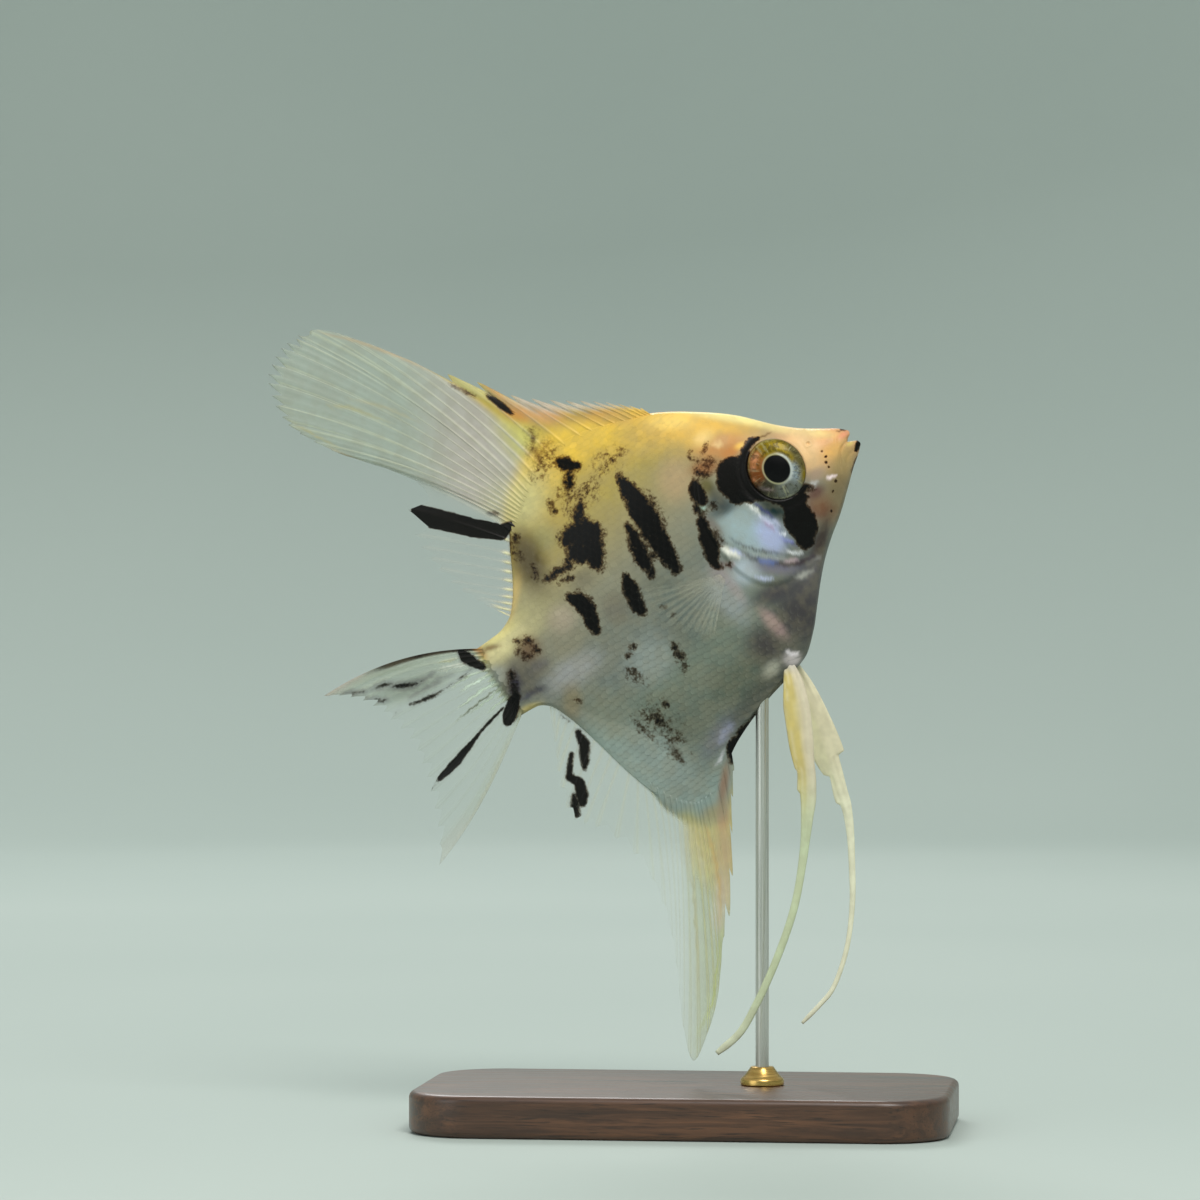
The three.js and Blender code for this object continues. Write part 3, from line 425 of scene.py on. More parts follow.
# Dark marks: how dense, how soft their edge is (mm), and a chain of places (u, w, radius).
DARK = [
    # the main bar, and the strip behind it
    (1.0, 0.55, [
        (25.3, 12.9, 0.3), (25.2, 10.5, 1.1), (25.1, 7.5, 1.4), (24.9, 4.5, 1.25), (24.7, 1.8, 1),
        (24.7, -0.1, 0.6),
    ]),
    (1.0, 0.6, [(22.8, 7.3, 0.4), (22.4, 5, 0.85), (22, 2.8, 0.85), (21.9, 0.8, 0.3)]),
    (0.8, 0.5, [(22.2, 2.9, 0.5), (23.6, 2.6, 0.4)]),
    (0.33, 1.5, [(26.6, 15, 1), (24.6, 15.2, 1.2), (22.6, 14.8, 0.6)]),
    (0.55, 1.0, [(26.2, 9, 0.8), (26.2, 6, 0.8)]),
    (0.6, 0.6, [(23.4, 5.6, 0.4), (23.2, 2.6, 0.4)]),
    # the blotch behind the bars
    (1.0, 0.8, [(16.1, 10.2, 1.1), (17.8, 9.9, 1.6), (18.8, 9, 1.2)]),
    (1.0, 0.8, [(16.2, 8.2, 1.4), (17.6, 7.4, 1.5), (17.2, 5.6, 0.7)]),
    (0.9, 0.7, [(17, 9, 1.4), (18.6, 10.6, 0.8)]),
    (0.85, 0.6, [(18.4, 11.6, 0.7), (19.3, 12.4, 0.6)]),
    (0.7, 0.6, [(15.1, 8.1, 0.7), (13.6, 7.6, 0.4)]),
    (0.62, 0.6, [(16.4, 13.8, 0.45), (16.6, 14.8, 0.35)]),
    # specks under the dorsal fin
    (1.0, 0.6, [(20.2, 18.4, 0.5), (21, 17.4, 0.8), (21.7, 16.9, 0.5)]),
    (0.85, 0.6, [(20.4, 16.6, 0.6), (19.8, 15.4, 0.5)]),
    (0.46, 2.2, [(17.8, 19.2, 1.2), (19.4, 21.4, 1.4), (20.2, 24, 0.7)]),
    (0.4, 1.8, [(19, 14, 1.6), (21.8, 13.4, 0.8)]),
    # bars near the tail
    (1.0, 0.5, [(12.2, 4.2, 0.45), (13, 3, 0.95), (13.1, 1.6, 0.95), (12.7, 0, 0.7), (12.6, -1, 0.4)]),
    (0.7, 0.5, [(13.4, 4, 0.4), (14, 2.6, 0.3)]),
    (1.0, 0.55, [(19.1, 2.5, 0.4), (18.9, 1.2, 0.85), (18.5, -0.6, 0.95), (18.4, -1.9, 0.55)]),
    (0.66, 0.5, [(4, 3.3, 0.35), (5.2, 2.8, 0.4), (5.6, 1.8, 0.4), (5.4, 0.9, 0.3)]),
    (0.62, 0.5, [(3.4, 2.2, 0.35), (3.8, 1.2, 0.4), (4.6, 0.9, 0.3)]),
    (0.75, 0.6, [(11.2, 7.4, 0.5), (12.6, 7.6, 0.5), (14.2, 7.1, 0.4)]),
    (0.6, 0.5, [(12.2, 6.4, 0.3), (13.8, 6, 0.3)]),
    (0.55, 0.6, [(9.6, 12.6, 0.5), (9.9, 11.4, 0.4)]),
    (0.5, 0.6, [(10.6, 9.6, 0.4), (10.2, 8.4, 0.4)]),
    (0.75, 0.8, [(9.6, 14.2, 0.6), (10.6, 13.6, 0.5)]),
    # spots low on the flank
    (0.58, 0.5, [(14.2, -5.6, 0.35), (15.3, -5, 0.4)]),
    (0.46, 0.9, [(13.2, -7.6, 0.7), (13.8, -9.2, 0.5)]),
    (0.58, 0.6, [(19.4, -7.2, 0.45), (19.1, -8.6, 0.55), (19.1, -10, 0.5), (18.8, -11, 0.3)]),
    (0.56, 0.5, [(20.9, -3.3, 0.4)]),
    (0.5, 0.5, [(21.3, -4.6, 0.4)]),
    (0.6, 0.7, [(12, -13.1, 0.5), (13, -14.2, 0.55), (13.2, -15, 0.3)]),
    (0.62, 0.5, [(14.5, -13, 0.4)]),
    (0.48, 0.6, [(10.4, -12.7, 0.4), (11, -15.4, 0.5)]),
    (0.52, 0.6, [(13.5, -15.9, 0.45), (14.3, -17.1, 0.35)]),
    (0.56, 0.6, [(12.2, -18.2, 0.45), (12.4, -19.6, 0.4)]),
    (0.38, 2.4, [(12.5, -13, 1.6), (13, -18, 1.2)]),
    (0.5, 0.7, [(6.2, -6.7, 0.4)]),
    (1.1, 0.4, [
        (25, -19.6, 0.2), (22, -20.6, 0.45), (20, -21.1, 0.6), (18.4, -21.8, 0.75),
        (17.9, -22.4, 0.6),
    ]),
    (0.45, 0.6, [(30, -18.4, 0.3), (27, -19, 0.3), (24.4, -20, 0.3)]),
    # along the gill opening
    (0.62, 0.45, [(33.9, 10.6, 0.2), (33.4, 9.9, 0.2), (34, 9.2, 0.35), (34.6, 8.9, 0.2)]),
    (0.85, 0.35, [(33.2, 8.2, 0.35), (33.6, 7.5, 0.3), (34, 7.1, 0.2)]),
    (0.62, 0.4, [(36.1, 10.2, 0.25), (35.5, 9.9, 0.2), (35, 9.7, 0.2)]),
    (0.46, 1.0, [(35.2, 8, 0.7), (33.8, 7.8, 0.9)]),
    (1.05, 0.4, [(32.4, 7.3, 0.3), (31.9, 6.5, 0.8), (31.8, 5.6, 0.9), (31.9, 5, 0.6)]),
    (0.8, 0.35, [(31.2, 5.3, 0.4), (30.7, 4.4, 0.3)]),
    (0.66, 0.5, [(30.6, 4.4, 0.3), (31.2, 3.4, 0.5), (32.6, 3.6, 0.4)]),
    (1.1, 0.45, [
        (30.5, 3, 0.5), (30, 1.6, 0.7), (29.7, 0, 0.9), (29.1, -1.4, 0.75), (28.9, -2.2, 0.5),
        (29.2, -2.9, 0.25),
    ]),
    (0.55, 0.6, [(30.9, 0.8, 0.5), (31.2, -0.6, 0.3)]),
    (0.5, 0.6, [(30.2, -3.3, 0.3)]),
    # round the eye and over the cheek
    (1.15, 0.4, [(36.2, 6.6, 0.85), (36.1, 5.4, 1.75), (36.4, 4, 1.95), (37, 2.6, 1.15)]),
    (1.1, 0.35, [(38.2, 4.6, 0.9)]),
    (1.1, 0.35, [(35.4, 3, 0.8), (36.4, 2.5, 0.7)]),
    (1.0, 0.4, [(39.7, -1.4, 0.4), (39.5, -2.4, 0.6)]),
    (1.15, 0.35, [(37, 6.4, 1), (38.4, 6.1, 0.75), (39.4, 6.6, 0.45)]),
    (1.1, 0.3, [(39.3, 7, 0.35), (40.1, 7.3, 0.45), (40.8, 7.5, 0.4), (41.5, 7.4, 0.15)]),
    (1.1, 0.4, [
        (37.6, 2.2, 0.9), (38.7, 0.9, 0.45), (39.9, -0.6, 0.7), (40.8, -1.8, 1.1), (42, -1.5, 0.7),
    ]),
    (1.0, 0.4, [(42.2, -0.8, 0.5), (43, -0.7, 0.4), (43.6, -1.1, 0.25)]),
    (1.2, 0.4, [(40.6, -1.8, 1.3), (40.3, -3.4, 1.75), (40, -4.8, 1.6), (39.5, -5.9, 1)]),
    (0.75, 0.4, [(42.9, -0.9, 0.35), (43.7, -1.3, 0.25)]),
    # lips
    (1.2, 0.2, [(51.5, 0.3, 0.3), (51.1, 0, 0.3), (50.6, -0.4, 0.15)]),
    (0.8, 0.25, [(50.2, -1.2, 0.1), (49, -2.1, 0.2), (48.6, -2.6, 0.1)]),
    (0.7, 0.2, [(50.5, 2.75, 0.15), (51, 2.3, 0.1)]),
]
# Dark marks where the tail fin joins the body, on both of them.
ROOT_DARK = [
    (1.1, 0.3, [(-2.3, 6, 0.45), (-2.2, 5.3, 0.75), (-1.8, 4.2, 0.6), (-1.2, 3.1, 0.4)]),
    (1.2, 0.3, [(0.2, -2.1, 0.45), (-0.8, -2.8, 0.8), (-1.8, -3.6, 0.85), (-2.3, -4, 0.6)]),
    (0.6, 0.5, [(1.2, 0.5, 0.4), (0.8, -0.5, 0.6), (0.4, -1.5, 0.6)]),
]
# Soft stains over the plates and the flank, and one painted glint on the gill cover, in the tints' form.
SMUDGES_AND_GLINT = [
    ("rear smudge", (62, 50, 32), 0.95, (10.6, 10.8), (2.1, 4.4), -12),
    ("stalk spot", (98, 66, 42), 0.85, (4.7, 1.9), (1.5, 1.6), 0),
    ("below stalk spot", (92, 88, 92), 0.75, (4.7, -0.6), (1.2, 0.8), 0),
    ("tail root blue", (44, 42, 62), 0.95, (0.8, -0.8), (2.2, 0.9), 60),
    ("stalk foot", (56, 52, 62), 0.7, (2.6, -2.8), (1.4, 0.5), -20),
    ("low speck", (40, 36, 30), 0.7, (12.4, -18.4), (0.5, 1.2), 0),
    ("stalk top", (118, 92, 56), 0.6, (1.1, 4.5), (1, 0.35), -25),
    ("under the eye", (4, 36, 38), 1.0, (38.5, -0.7), (1.2, 2.4), 28),
    ("behind the brow", (150, 92, 44), 0.9, (34.4, 8), (1.9, 1), -20),
    ("brow edge", (196, 124, 60), 0.7, (37.8, 7.8), (1.2, 0.7), -10),
    ("gill top", (92, 84, 40), 0.9, (33.3, 6), (0.9, 1.4), 0),
    ("gill grey", (66, 70, 66), 0.85, (33.6, 4), (1, 1.5), -10),
    ("gill grey rear", (74, 80, 78), 0.7, (32.4, 4.2), (1.2, 0.6), -20),
    # painted glint on the gill cover
    ("gill glint", (164, 196, 184), 0.8, (31.3, 4.1), (0.5, 0.35), -20),
    ("gill edge", (118, 106, 100), 0.7, (31.3, 1.6), (0.6, 1.5), 10),
    ("gill edge foot", (78, 72, 74), 0.7, (30.9, -0.2), (0.5, 0.8), 10),
]


def oval(u, w, centre, radii, turn):
    """1 at an oval's centre, falling smoothly to nothing beyond its rim."""
    cos, sin = math.cos(math.radians(turn)), math.sin(math.radians(turn))
    du, dw = u - centre[0], w - centre[1]
    q = np.hypot((du * cos + dw * sin) / radii[0], (dw * cos - du * sin) / radii[1])
    return np.exp(-(q**3))


def mix(colour, other, share):
    return colour + (other - colour) * np.clip(share, 0, 1)[..., None]


def dark_field(marks, u, w):
    """How dark the marks are at each place: their density inside, fading to 0 over their edges."""
    field = np.zeros(np.shape(u))
    for density, soft, chain in marks:
        chain = np.array(chain, float)
        if len(chain) == 1:
            d, radius = np.hypot(u - chain[0, 0], w - chain[0, 1]), chain[0, 2]
        else:
            d, along = nearest(chain[:, :2], u, w)
            d, radius = np.abs(d), np.interp(along, np.linspace(0, 1, len(chain)), chain[:, 2])
        field = np.maximum(field, density * np.clip(0.5 - (d - radius) / (2 * soft), 0, 1))
    return field


def tinted(colour, tints, u, w):
    """Lays soft ovals of colour over a ground colour, one after the other."""
    for _, shade, strength, centre, radii, turn in tints:
        colour = mix(colour, rgb(*shade), strength * oval(u, w, centre, radii, turn))
    return colour


def lined(colour, lines, u, w):
    """Adds lines that taper to their ends, and tells how far they cover each place."""
    cover = np.zeros(np.shape(u))
    wavy_u = u + 0.07 * np.sin(4.1 * w - 2.3 * u) + 0.05 * np.sin(9.7 * w + 3.1 * u)
    wavy_w = w + 0.07 * np.sin(3.7 * u + 2.9 * w) + 0.05 * np.sin(8.9 * u - 4.3 * w)
    for shade, width, strength, chain in lines:
        d, along = nearest(chain, wavy_u, wavy_w)
        ends = np.sqrt(np.sin(np.pi * np.clip(along, 0, 1)).clip(0))
        share = strength * ends * hill(d, width * (0.4 + 0.6 * ends))
        colour, cover = mix(colour, rgb(*shade), share), np.maximum(cover, share)
    return colour, cover


def body_paint(x, y, z):
    """Colour, darkness and pearliness at places on the body."""
    u, w = seen(x, y, z)
    heights = [g[0] for g in GROUND]
    shades = np.array([rgb(*g[1]) for g in GROUND])
    tilt = w - 0.12 * (u - 24)
    colour = np.stack([np.interp(tilt, heights, shades[:, k]) for k in range(3)], -1)
    colour = tinted(colour, TINTS, u, w)
    pearl = np.zeros(np.shape(u))
    for _, shade, strength, centre, radii, turn in PEARLS:
        share = strength * oval(u, w, centre, radii, turn)
        colour, pearl = mix(colour, rgb(*shade), share), np.maximum(pearl, share)
    colour = tinted(colour, SMUDGES_AND_GLINT, u, w)
    colour, _ = lined(colour, LINES, u, w)
    dark = dark_field(DARK + ROOT_DARK, u, w)
    for pore_u, pore_w in PORES:
        dark = np.maximum(dark, 0.9 * hill(np.hypot(u - pore_u, w - pore_w), 0.17))
    pearl = pearl * step(0.6, 0.3, dark) * (1 - oval(u, w, *UNDER_EYE))
    return colour, dark, pearl


# ---------- meshes ----------
SIDES = {-1: "right", 1: "left"}  # the sign of y on each flank


def make_object(name, points, faces, world=True):
    mesh = bpy.data.meshes.new(name)
    places = to_world(points) if world else np.asarray(points, float) * MM
    mesh.from_pydata(places.reshape(-1, 3).tolist(), [], [list(map(int, f)) for f in faces])
    mesh.validate()
    ob = bpy.data.objects.new(name, mesh)
    bpy.context.scene.collection.objects.link(ob)
    mesh.polygons.foreach_set("use_smooth", np.ones(len(mesh.polygons), bool))
    return ob


def turn_outwards(ob, merge=None):
    """Turns every face outwards, after joining the points that lie within merge metres."""
    bm = bmesh.new()
    bm.from_mesh(ob.data)
    if merge:
        bmesh.ops.remove_doubles(bm, verts=bm.verts, dist=merge)
    bmesh.ops.recalc_face_normals(bm, faces=bm.faces)
    bm.to_mesh(ob.data)
    bm.free()


def give(ob, **layers):
    """Stores values at the mesh's points, each under its name: numbers or vectors, and Paint as
    colours."""
    for name, values in layers.items():
        values = np.asarray(values, np.float32)
        kind, field = "FLOAT_VECTOR", "vector"
        if values.ndim == 1:
            kind, field = "FLOAT", "value"
        elif name == "Paint":
            kind, field = "FLOAT_COLOR", "color"
            values = np.column_stack([values, np.ones(len(values), np.float32)])
        ob.data.attributes.new(name, kind, "POINT").data.foreach_set(field, values.ravel())


def give_map(ob, point_uv):
    """The map for baking, from a place for each of the mesh's points."""
    layer = ob.data.uv_layers.new(name="OFBake")
    corner = np.zeros(len(ob.data.loops), int)
    ob.data.loops.foreach_get("vertex_index", corner)
    layer.uv.foreach_set("vector", np.asarray(point_uv, np.float32)[corner].ravel())


def grid_faces(rows, columns, wrap=False):
    """Quads over rows of points, each row joined to the next."""
    r = np.arange(rows - 1)[:, None] * columns
    c = np.arange(columns if wrap else columns - 1)[None, :]
    after = (c + 1) % columns
    quads = np.stack([r + c, r + after, r + columns + after, r + columns + c], -1)
    return quads.reshape(-1, 4)


def tube_faces(rings, around):
    """Quads round a stack of rings, closed by one face at each end."""
    ends = [tuple(range(around))[::-1], tuple((rings - 1) * around + i for i in range(around))]
    return grid_faces(rings, around, wrap=True).tolist() + ends


def finish_piece(ob, material, slot, *nodes):
    """Gives a piece its material, the CAD nodes that it replaces, if any, and its body. The slot is not
    used.
    """
    ob.data.materials.append(material)
    if nodes:
        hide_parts(*nodes)
    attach(ob, "root")


# ---------- materials ----------
class Shader:
    """A material's nodes, made by short calls. Inputs are values or other nodes' outputs."""

    def __init__(self, name):
        self.material = bpy.data.materials.new(name)
        self.material.use_nodes = True
        self.tree = self.material.node_tree
        self.surface = self.tree.nodes["Principled BSDF"]

    def node(self, kind, inputs=None, **settings):
        made = self.tree.nodes.new("ShaderNode" + kind)
        for key, value in settings.items():
            setattr(made, key, value)
        for key, value in (inputs or {}).items():
            self.put(made, key, value)
        return made

    def put(self, node, key, value):
        if isinstance(value, bpy.types.NodeSocket):
            self.tree.links.new(value, node.inputs[key])
        else:
            node.inputs[key].default_value = value

    def set(self, **inputs):
        for key, value in inputs.items():
            self.put(self.surface, key.replace("_", " "), value)

    def attribute(self, name, output="Fac"):
        return self.node("Attribute", attribute_name=name).outputs[output]

    def math(self, operation, a, b=0.0, c=0.0):
        return self.node("Math", {0: a, 1: b, 2: c}, operation=operation).outputs[0]

    def noise(self, vector, scale, detail=3.0, roughness=0.6, distortion=0.0):
        inputs = {
            "Vector": vector, "Scale": scale, "Detail": detail, "Roughness": roughness,
            "Distortion": distortion,
        }
        return self.node("TexNoise", inputs).outputs[0]

    def stretched(self, scale):
        """The object's own coordinates, scaled on each axis."""
        where = self.node("TexCoord").outputs["Object"]
        return self.node("Mapping", {"Vector": where, "Scale": scale}).outputs[0]

    def remap(self, value, low, high, to_low=0.0, to_high=1.0):
        inputs = {"Value": value, "From Min": low, "From Max": high, "To Min": to_low, "To Max": to_high}
        return self.node("MapRange", inputs, interpolation_type="SMOOTHSTEP").outputs[0]

    def mix(self, share, a, b, blend="MIX"):
        inputs = {0: share, 6: a, 7: b}  # the sockets for colours
        return self.node("Mix", inputs, data_type="RGBA", blend_type=blend).outputs[2]

    def bump(self, height, strength, distance):
        inputs = {"Height": height, "Strength": strength, "Distance": distance}
        return self.node("Bump", inputs).outputs[0]


def shade(*channels):
    return (*rgb(*channels), 1.0)


BLACK = shade(4, 4, 4)


def marked_colour(s, place, speckle=1.0):
    """The painted colour with its dark marks broken into specks at their edges, and how black it is."""
    dark = s.attribute("Dark")
    specks = s.math("MULTIPLY_ADD", s.noise(place, 0.9, 3.0, 0.65), 1.2 * speckle, -0.6 * speckle)
    fine = s.math("MULTIPLY_ADD", s.noise(place, 3.0, 2.0, 0.6), 0.8 * speckle, -0.4 * speckle)
    field = s.math("MULTIPLY_ADD", s.math("ADD", specks, fine), s.remap(dark, 0.0, 0.2), dark)
    black = s.remap(field, 0.36, 0.78)
    dull = s.remap(s.noise(place, 0.5, 2.0), 0.35, 0.65, 0.0, 0.2)
    ground = s.mix(dull, s.attribute("Paint", "Color"), shade(150, 140, 112))
    stained = s.mix(s.remap(field, 0.12, 0.5, 0.0, 0.9), ground, shade(132, 104, 76), "MULTIPLY")
    return s.mix(s.math("MULTIPLY", black, 0.98), stained, BLACK), black


def skin_material():
    s = Shader("angelfish skin")
    place = s.attribute("Place", "Vector")
    colour, _ = marked_colour(s, place)
    grain = s.noise(place, 5.0, 2.0)
    s.set(
        Base_Color=colour,
        Roughness=s.remap(grain, 0.3, 0.7, 0.34, 0.5),
        Metallic=s.math("MULTIPLY", s.attribute("Pearl"), 0.35),
        Normal=s.bump(s.math("ADD", grain, s.noise(place, 1.4, 2.0)), 0.25, 0.00012),
        Specular_IOR_Level=0.12,
        Coat_Weight=0.05,
        Coat_Roughness=0.22,
    )
    return s.material


def scale_material():
    s = Shader("angelfish scales")
    place = s.attribute("Place", "Vector")
    colour, black = marked_colour(s, place)
    # painted highlight along each scale's free edge, then painted shade along its sides, where rows overlap
    colour = s.mix(s.math("MULTIPLY", s.attribute("Rim"), 0.05), colour, shade(228, 224, 208))
    colour = s.mix(s.math("MULTIPLY", s.attribute("Side"), 0.26), colour, shade(72, 72, 66))
    s.set(
        Base_Color=s.mix(s.math("MULTIPLY", black, 0.8), colour, BLACK),
        Roughness=s.remap(s.noise(place, 4.0, 2.0), 0.3, 0.7, 0.3, 0.46),
        Metallic=s.math("MULTIPLY", s.attribute("Pearl"), 0.35),
        Normal=s.bump(s.noise(place, 6.0, 2.0), 0.2, 0.00008),
        Specular_IOR_Level=0.12,
        Coat_Weight=0.04,
        Coat_Roughness=0.2,
    )
    return s.material


def fin_material(name):
    s = Shader(name)
    place = s.attribute("Place", "Vector")
    colour, black = marked_colour(s, place, speckle=0.5)
    s.set(
        Base_Color=colour,
        Alpha=s.math("MAXIMUM", s.attribute("Clear"), s.math("MULTIPLY", black, 0.95)),
        Roughness=s.remap(s.noise(place, 3.0, 2.0), 0.3, 0.7, 0.32, 0.5),
        Normal=s.bump(s.noise(place, 4.0, 2.0), 0.2, 0.0001),
        Specular_IOR_Level=0.2,
    )
    return s.material


def eye_material():
    s = Shader("angelfish eye")
    iris = s.attribute("Iris")
    mottle = s.noise(s.attribute("Place", "Vector"), 1.5, 4.0, 0.72, 0.4)
    threads = s.noise(s.attribute("Spoke", "Vector"), 4.0, 3.0, 0.6)
    dim = s.math("MULTIPLY", s.remap(mottle, 0.47, 0.62), s.math("MULTIPLY", iris, 0.6))
    lit = s.math("MULTIPLY", s.remap(threads, 0.52, 0.75), s.math("MULTIPLY", iris, 0.3))
    colour = s.mix(dim, s.attribute("Paint", "Color"), shade(44, 38, 22))
    s.set(
        Base_Color=s.mix(lit, colour, shade(206, 200, 150)),
        Metallic=s.math("MULTIPLY", iris, 0.25),
        Normal=s.bump(threads, 0.15, 0.0001),
        Roughness=0.4,
        Specular_IOR_Level=0.1,
        Coat_Weight=0.12,
        Coat_Roughness=0.05,
    )
    return s.material


def wood_material():
    s = Shader("dark wood")
    grain = s.noise(s.stretched((60.0, 900.0, 900.0)), 1.0, 5.0, 0.65, 0.6)
    pores = s.noise(s.stretched((250.0, 5200.0, 5200.0)), 1.0, 2.0)
    bands = s.noise(s.stretched((14.0, 190.0, 190.0)), 1.0, 3.0, 0.5, 1.2)
    colour = s.mix(s.remap(grain, 0.35, 0.65), shade(58, 36, 24), shade(104, 68, 44))
    colour = s.mix(s.remap(bands, 0.42, 0.6, 0.0, 0.6), colour, shade(70, 44, 28))
    colour = s.mix(s.remap(pores, 0.56, 0.7, 0.0, 0.7), colour, shade(32, 20, 14))
    s.set(
        Base_Color=colour,
        Roughness=s.remap(grain, 0.3, 0.7, 0.36, 0.5),
        Normal=s.bump(s.math("ADD", grain, pores), 0.15, 0.00015),
        Coat_Weight=0.35,
        Coat_Roughness=0.25,
    )
    return s.material


def metal_material(name, low, high, scale, roughness):
    s = Shader(name)
    brushed = s.noise(s.stretched(scale), 1.0, 3.0)
    s.set(
        Base_Color=s.mix(s.remap(brushed, 0.35, 0.65), low, high),
        Roughness=s.remap(brushed, 0.3, 0.7, roughness - 0.06, roughness + 0.08),
        Normal=s.bump(brushed, 0.08, 0.00005),
        Metallic=1.0,
    )
    return s.material


def floor_material():
    s = Shader("pale floor")
    cloud = s.noise(s.node("TexCoord").outputs["Object"], 3.0, 2.0)
    s.set(
        Base_Color=s.mix(s.remap(cloud, 0.3, 0.7), shade(178, 190, 184), shade(184, 195, 189)),
        Roughness=0.85,
    )
    return s.material


# ---------- the skin ----------
NOSE_START, NOSE_END = 47.0, 51.2  # between these the sections bend, to end at the lips
NOSE_CAP = 0.62  # how far along the nose its end begins to round off
SKIN_START, SKIN_FULL = -1.0, 1.4  # the tail stalk thins to nothing between these, in the fin
BODY_STATIONS = np.concatenate([
    np.linspace(SKIN_START, 28, 94)[:-1], np.linspace(28, NOSE_START, 122)[:-1],
])
NOSE_STATIONS = 1 - (1 - np.linspace(0, 1, 42)) ** 1.35
SIDE_POINTS = 150  # from belly to back, on each side
LIFT = np.sin(np.linspace(-1, 1, SIDE_POINTS) * np.pi / 2)  # from the belly (-1) to the back (1)
lips = through([  # the front outline of the closed lips, from the chin (0) to the top lip (1)
    [0, 51.3], [0.14, 51.5], [0.27, 51.42], [0.4, 50.85], [0.5, 50.3], [0.6, 50.55],
    [0.72, 51.05], [0.84, 51.15], [1, 50.9],
])
nose_top = through([[47, 5.1], [49, 3.75], [50.3, 2.92], [50.9, 2.5], [51.2, 2.25]])
nose_bottom = through([[47, -4.07], [49.3, -2.1], [50.6, -1.1], [51.2, -0.5]])


def section_heights(x, low, top):
    """The heights of a section's points, from its belly to its back."""
    mid = middle(x)
    return mid + np.where(LIFT > 0, top - mid, mid - low) * LIFT


def body_ring(x):
    """An upright section of the body: x, z and half thickness."""
    z = section_heights(x, belly(x), back(x))
    thinned = 1 - np.clip((SKIN_FULL - x) / (SKIN_FULL - SKIN_START), 0, 1) ** 1.6
    x = np.full_like(z, x)
    return x, z, skin_half(x, z) * thinned


def nose_ring(s):
    """A section at s (0 to 1) along the nose, bent towards the outline of the lips."""
    nominal = NOSE_START + (NOSE_END - NOSE_START) * s
    low, top = nose_bottom(nominal), nose_top(nominal)
    z = section_heights(nominal, low, top)
    x = nominal + (lips((z - low) / (top - low)) - NOSE_END) * s**5
    inside = np.clip(z, belly(x) + 0.02, back(x) - 0.02)
    half = thickness(x, inside) * np.sqrt(np.clip(1 - LIFT**2, 0, 1)) ** 0.35
    half = half - COAT * np.clip(half / 0.4, 0, 1) + relief(x, z, half) * np.clip(half / 1.1, 0, 1)
    cap = np.sqrt(np.clip(1 - np.clip((s - NOSE_CAP) / (1 - NOSE_CAP), 0, 1) ** 2.4, 0, 1))
    return x, z, np.maximum(half, 0) * cap


def skin_rings():
    """Half rings of the body from belly to back: x, z and half thickness, one row a station."""
    rings = [body_ring(x) for x in BODY_STATIONS] + [nose_ring(s) for s in NOSE_STATIONS]
    xs, zs, halves = (np.array(part) for part in zip(*rings))
    halves[:, [0, -1]] = 0
    return xs, zs - np.sign(LIFT) * COAT * np.abs(LIFT) ** 8, halves


def distance_round(z, half, axis):
    """How far round its section each point is, from the belly."""
    steps = np.hypot(np.diff(z, axis=axis), np.diff(half, axis=axis))
    return np.pad(np.cumsum(steps, axis), [(int(axis == 0), 0), (int(axis == 1), 0)])


def make_skin(material):
    xs, zs, halves = skin_rings()
    right = np.stack([xs, -halves, zs], -1)
    left = np.stack([xs, halves, zs], -1)[:, ::-1]
    rings = np.concatenate([right, left[:, 1:-1]], 1)
    rows, around = rings.shape[:2]
    tail_middle = [xs[0].mean(), 0, zs[0].mean()]
    points = np.vstack([rings.reshape(-1, 3), tail_middle])
    faces = grid_faces(rows, around, wrap=True).tolist()
    faces += [(rows * around, (i + 1) % around, i) for i in range(around)]
    ob = make_object("fish_skin", points, faces)
    paint, dark, pearl = body_paint(*points.T)
    give(ob, Paint=paint, Dark=dark, Pearl=pearl, Place=points)

    # unwrap: one island for each flank, length along the body by length round the section
    lengths = distance_round(zs, halves, 1)
    v = 0.5 + (lengths - lengths[:, -1:] / 2) / lengths.max() * 0.96
    along = (xs - SKIN_START) / (NOSE_END - SKIN_START + 0.5)
    uv_right = np.stack([0.01 + 0.47 * along, v], -1)
    uv_left = np.stack([0.52 + 0.47 * along, v], -1)[:, ::-1]
    uv = np.concatenate([uv_right, uv_left[:, 1:-1]], 1).reshape(-1, 2)
    give_map(ob, np.vstack([uv, uv[:around].mean(0)]))

    turn_outwards(ob, merge=2e-6)
    ob.data.polygons.foreach_set("use_smooth", np.ones(len(ob.data.polygons), bool))
    finish_piece(
        ob, material, "skin", "head", "lower_jaw", "gill_cover_left", "gill_cover_right", "trunk",
        "tail_stalk",
    )


# ---------- scales ----------
SCALE = {"sunk": 0.03, "long": 1.75, "wide": 1.5}  # long and wide in steps of the rows
ALONG, ACROSS = 7, 6  # points on a scale
SCALE_FRONT = smooth_line([  # the head in front of this line, in u and w, has no scales
    [36, 15], [34.5, 11], [33.2, 8.5], [31.6, 6.5], [30.6, 4], [30.1, 1], [30.1, -2], [30.6, -5],
    [31.6, -8], [33.5, -10], [35.5, -12], [36, -14],
])
# By height: how far the free edges stand out, and the gap between rows. By x: the gap in a row.
scale_lift = through([[-26, 0.045], [-16, 0.05], [-6, 0.04], [4, 0.022], [12, 0.014], [22, 0.012]])
scale_gap_z = through([[-26, 0.6], [-18, 0.7], [-8, 0.82], [4, 0.8], [12, 0.68], [21, 0.54]])
scale_gap_x = through([[-1, 0.66], [6, 0.78], [14, 0.9], [26, 0.94], [34, 0.84], [40, 0.74]])


def spaced(low, high, gap):
    """Places from low to high, gap(place) apart."""
    places = [low]
    while places[-1] < high:
        places.append(places[-1] + float(gap(places[-1])))
    return np.array(places)


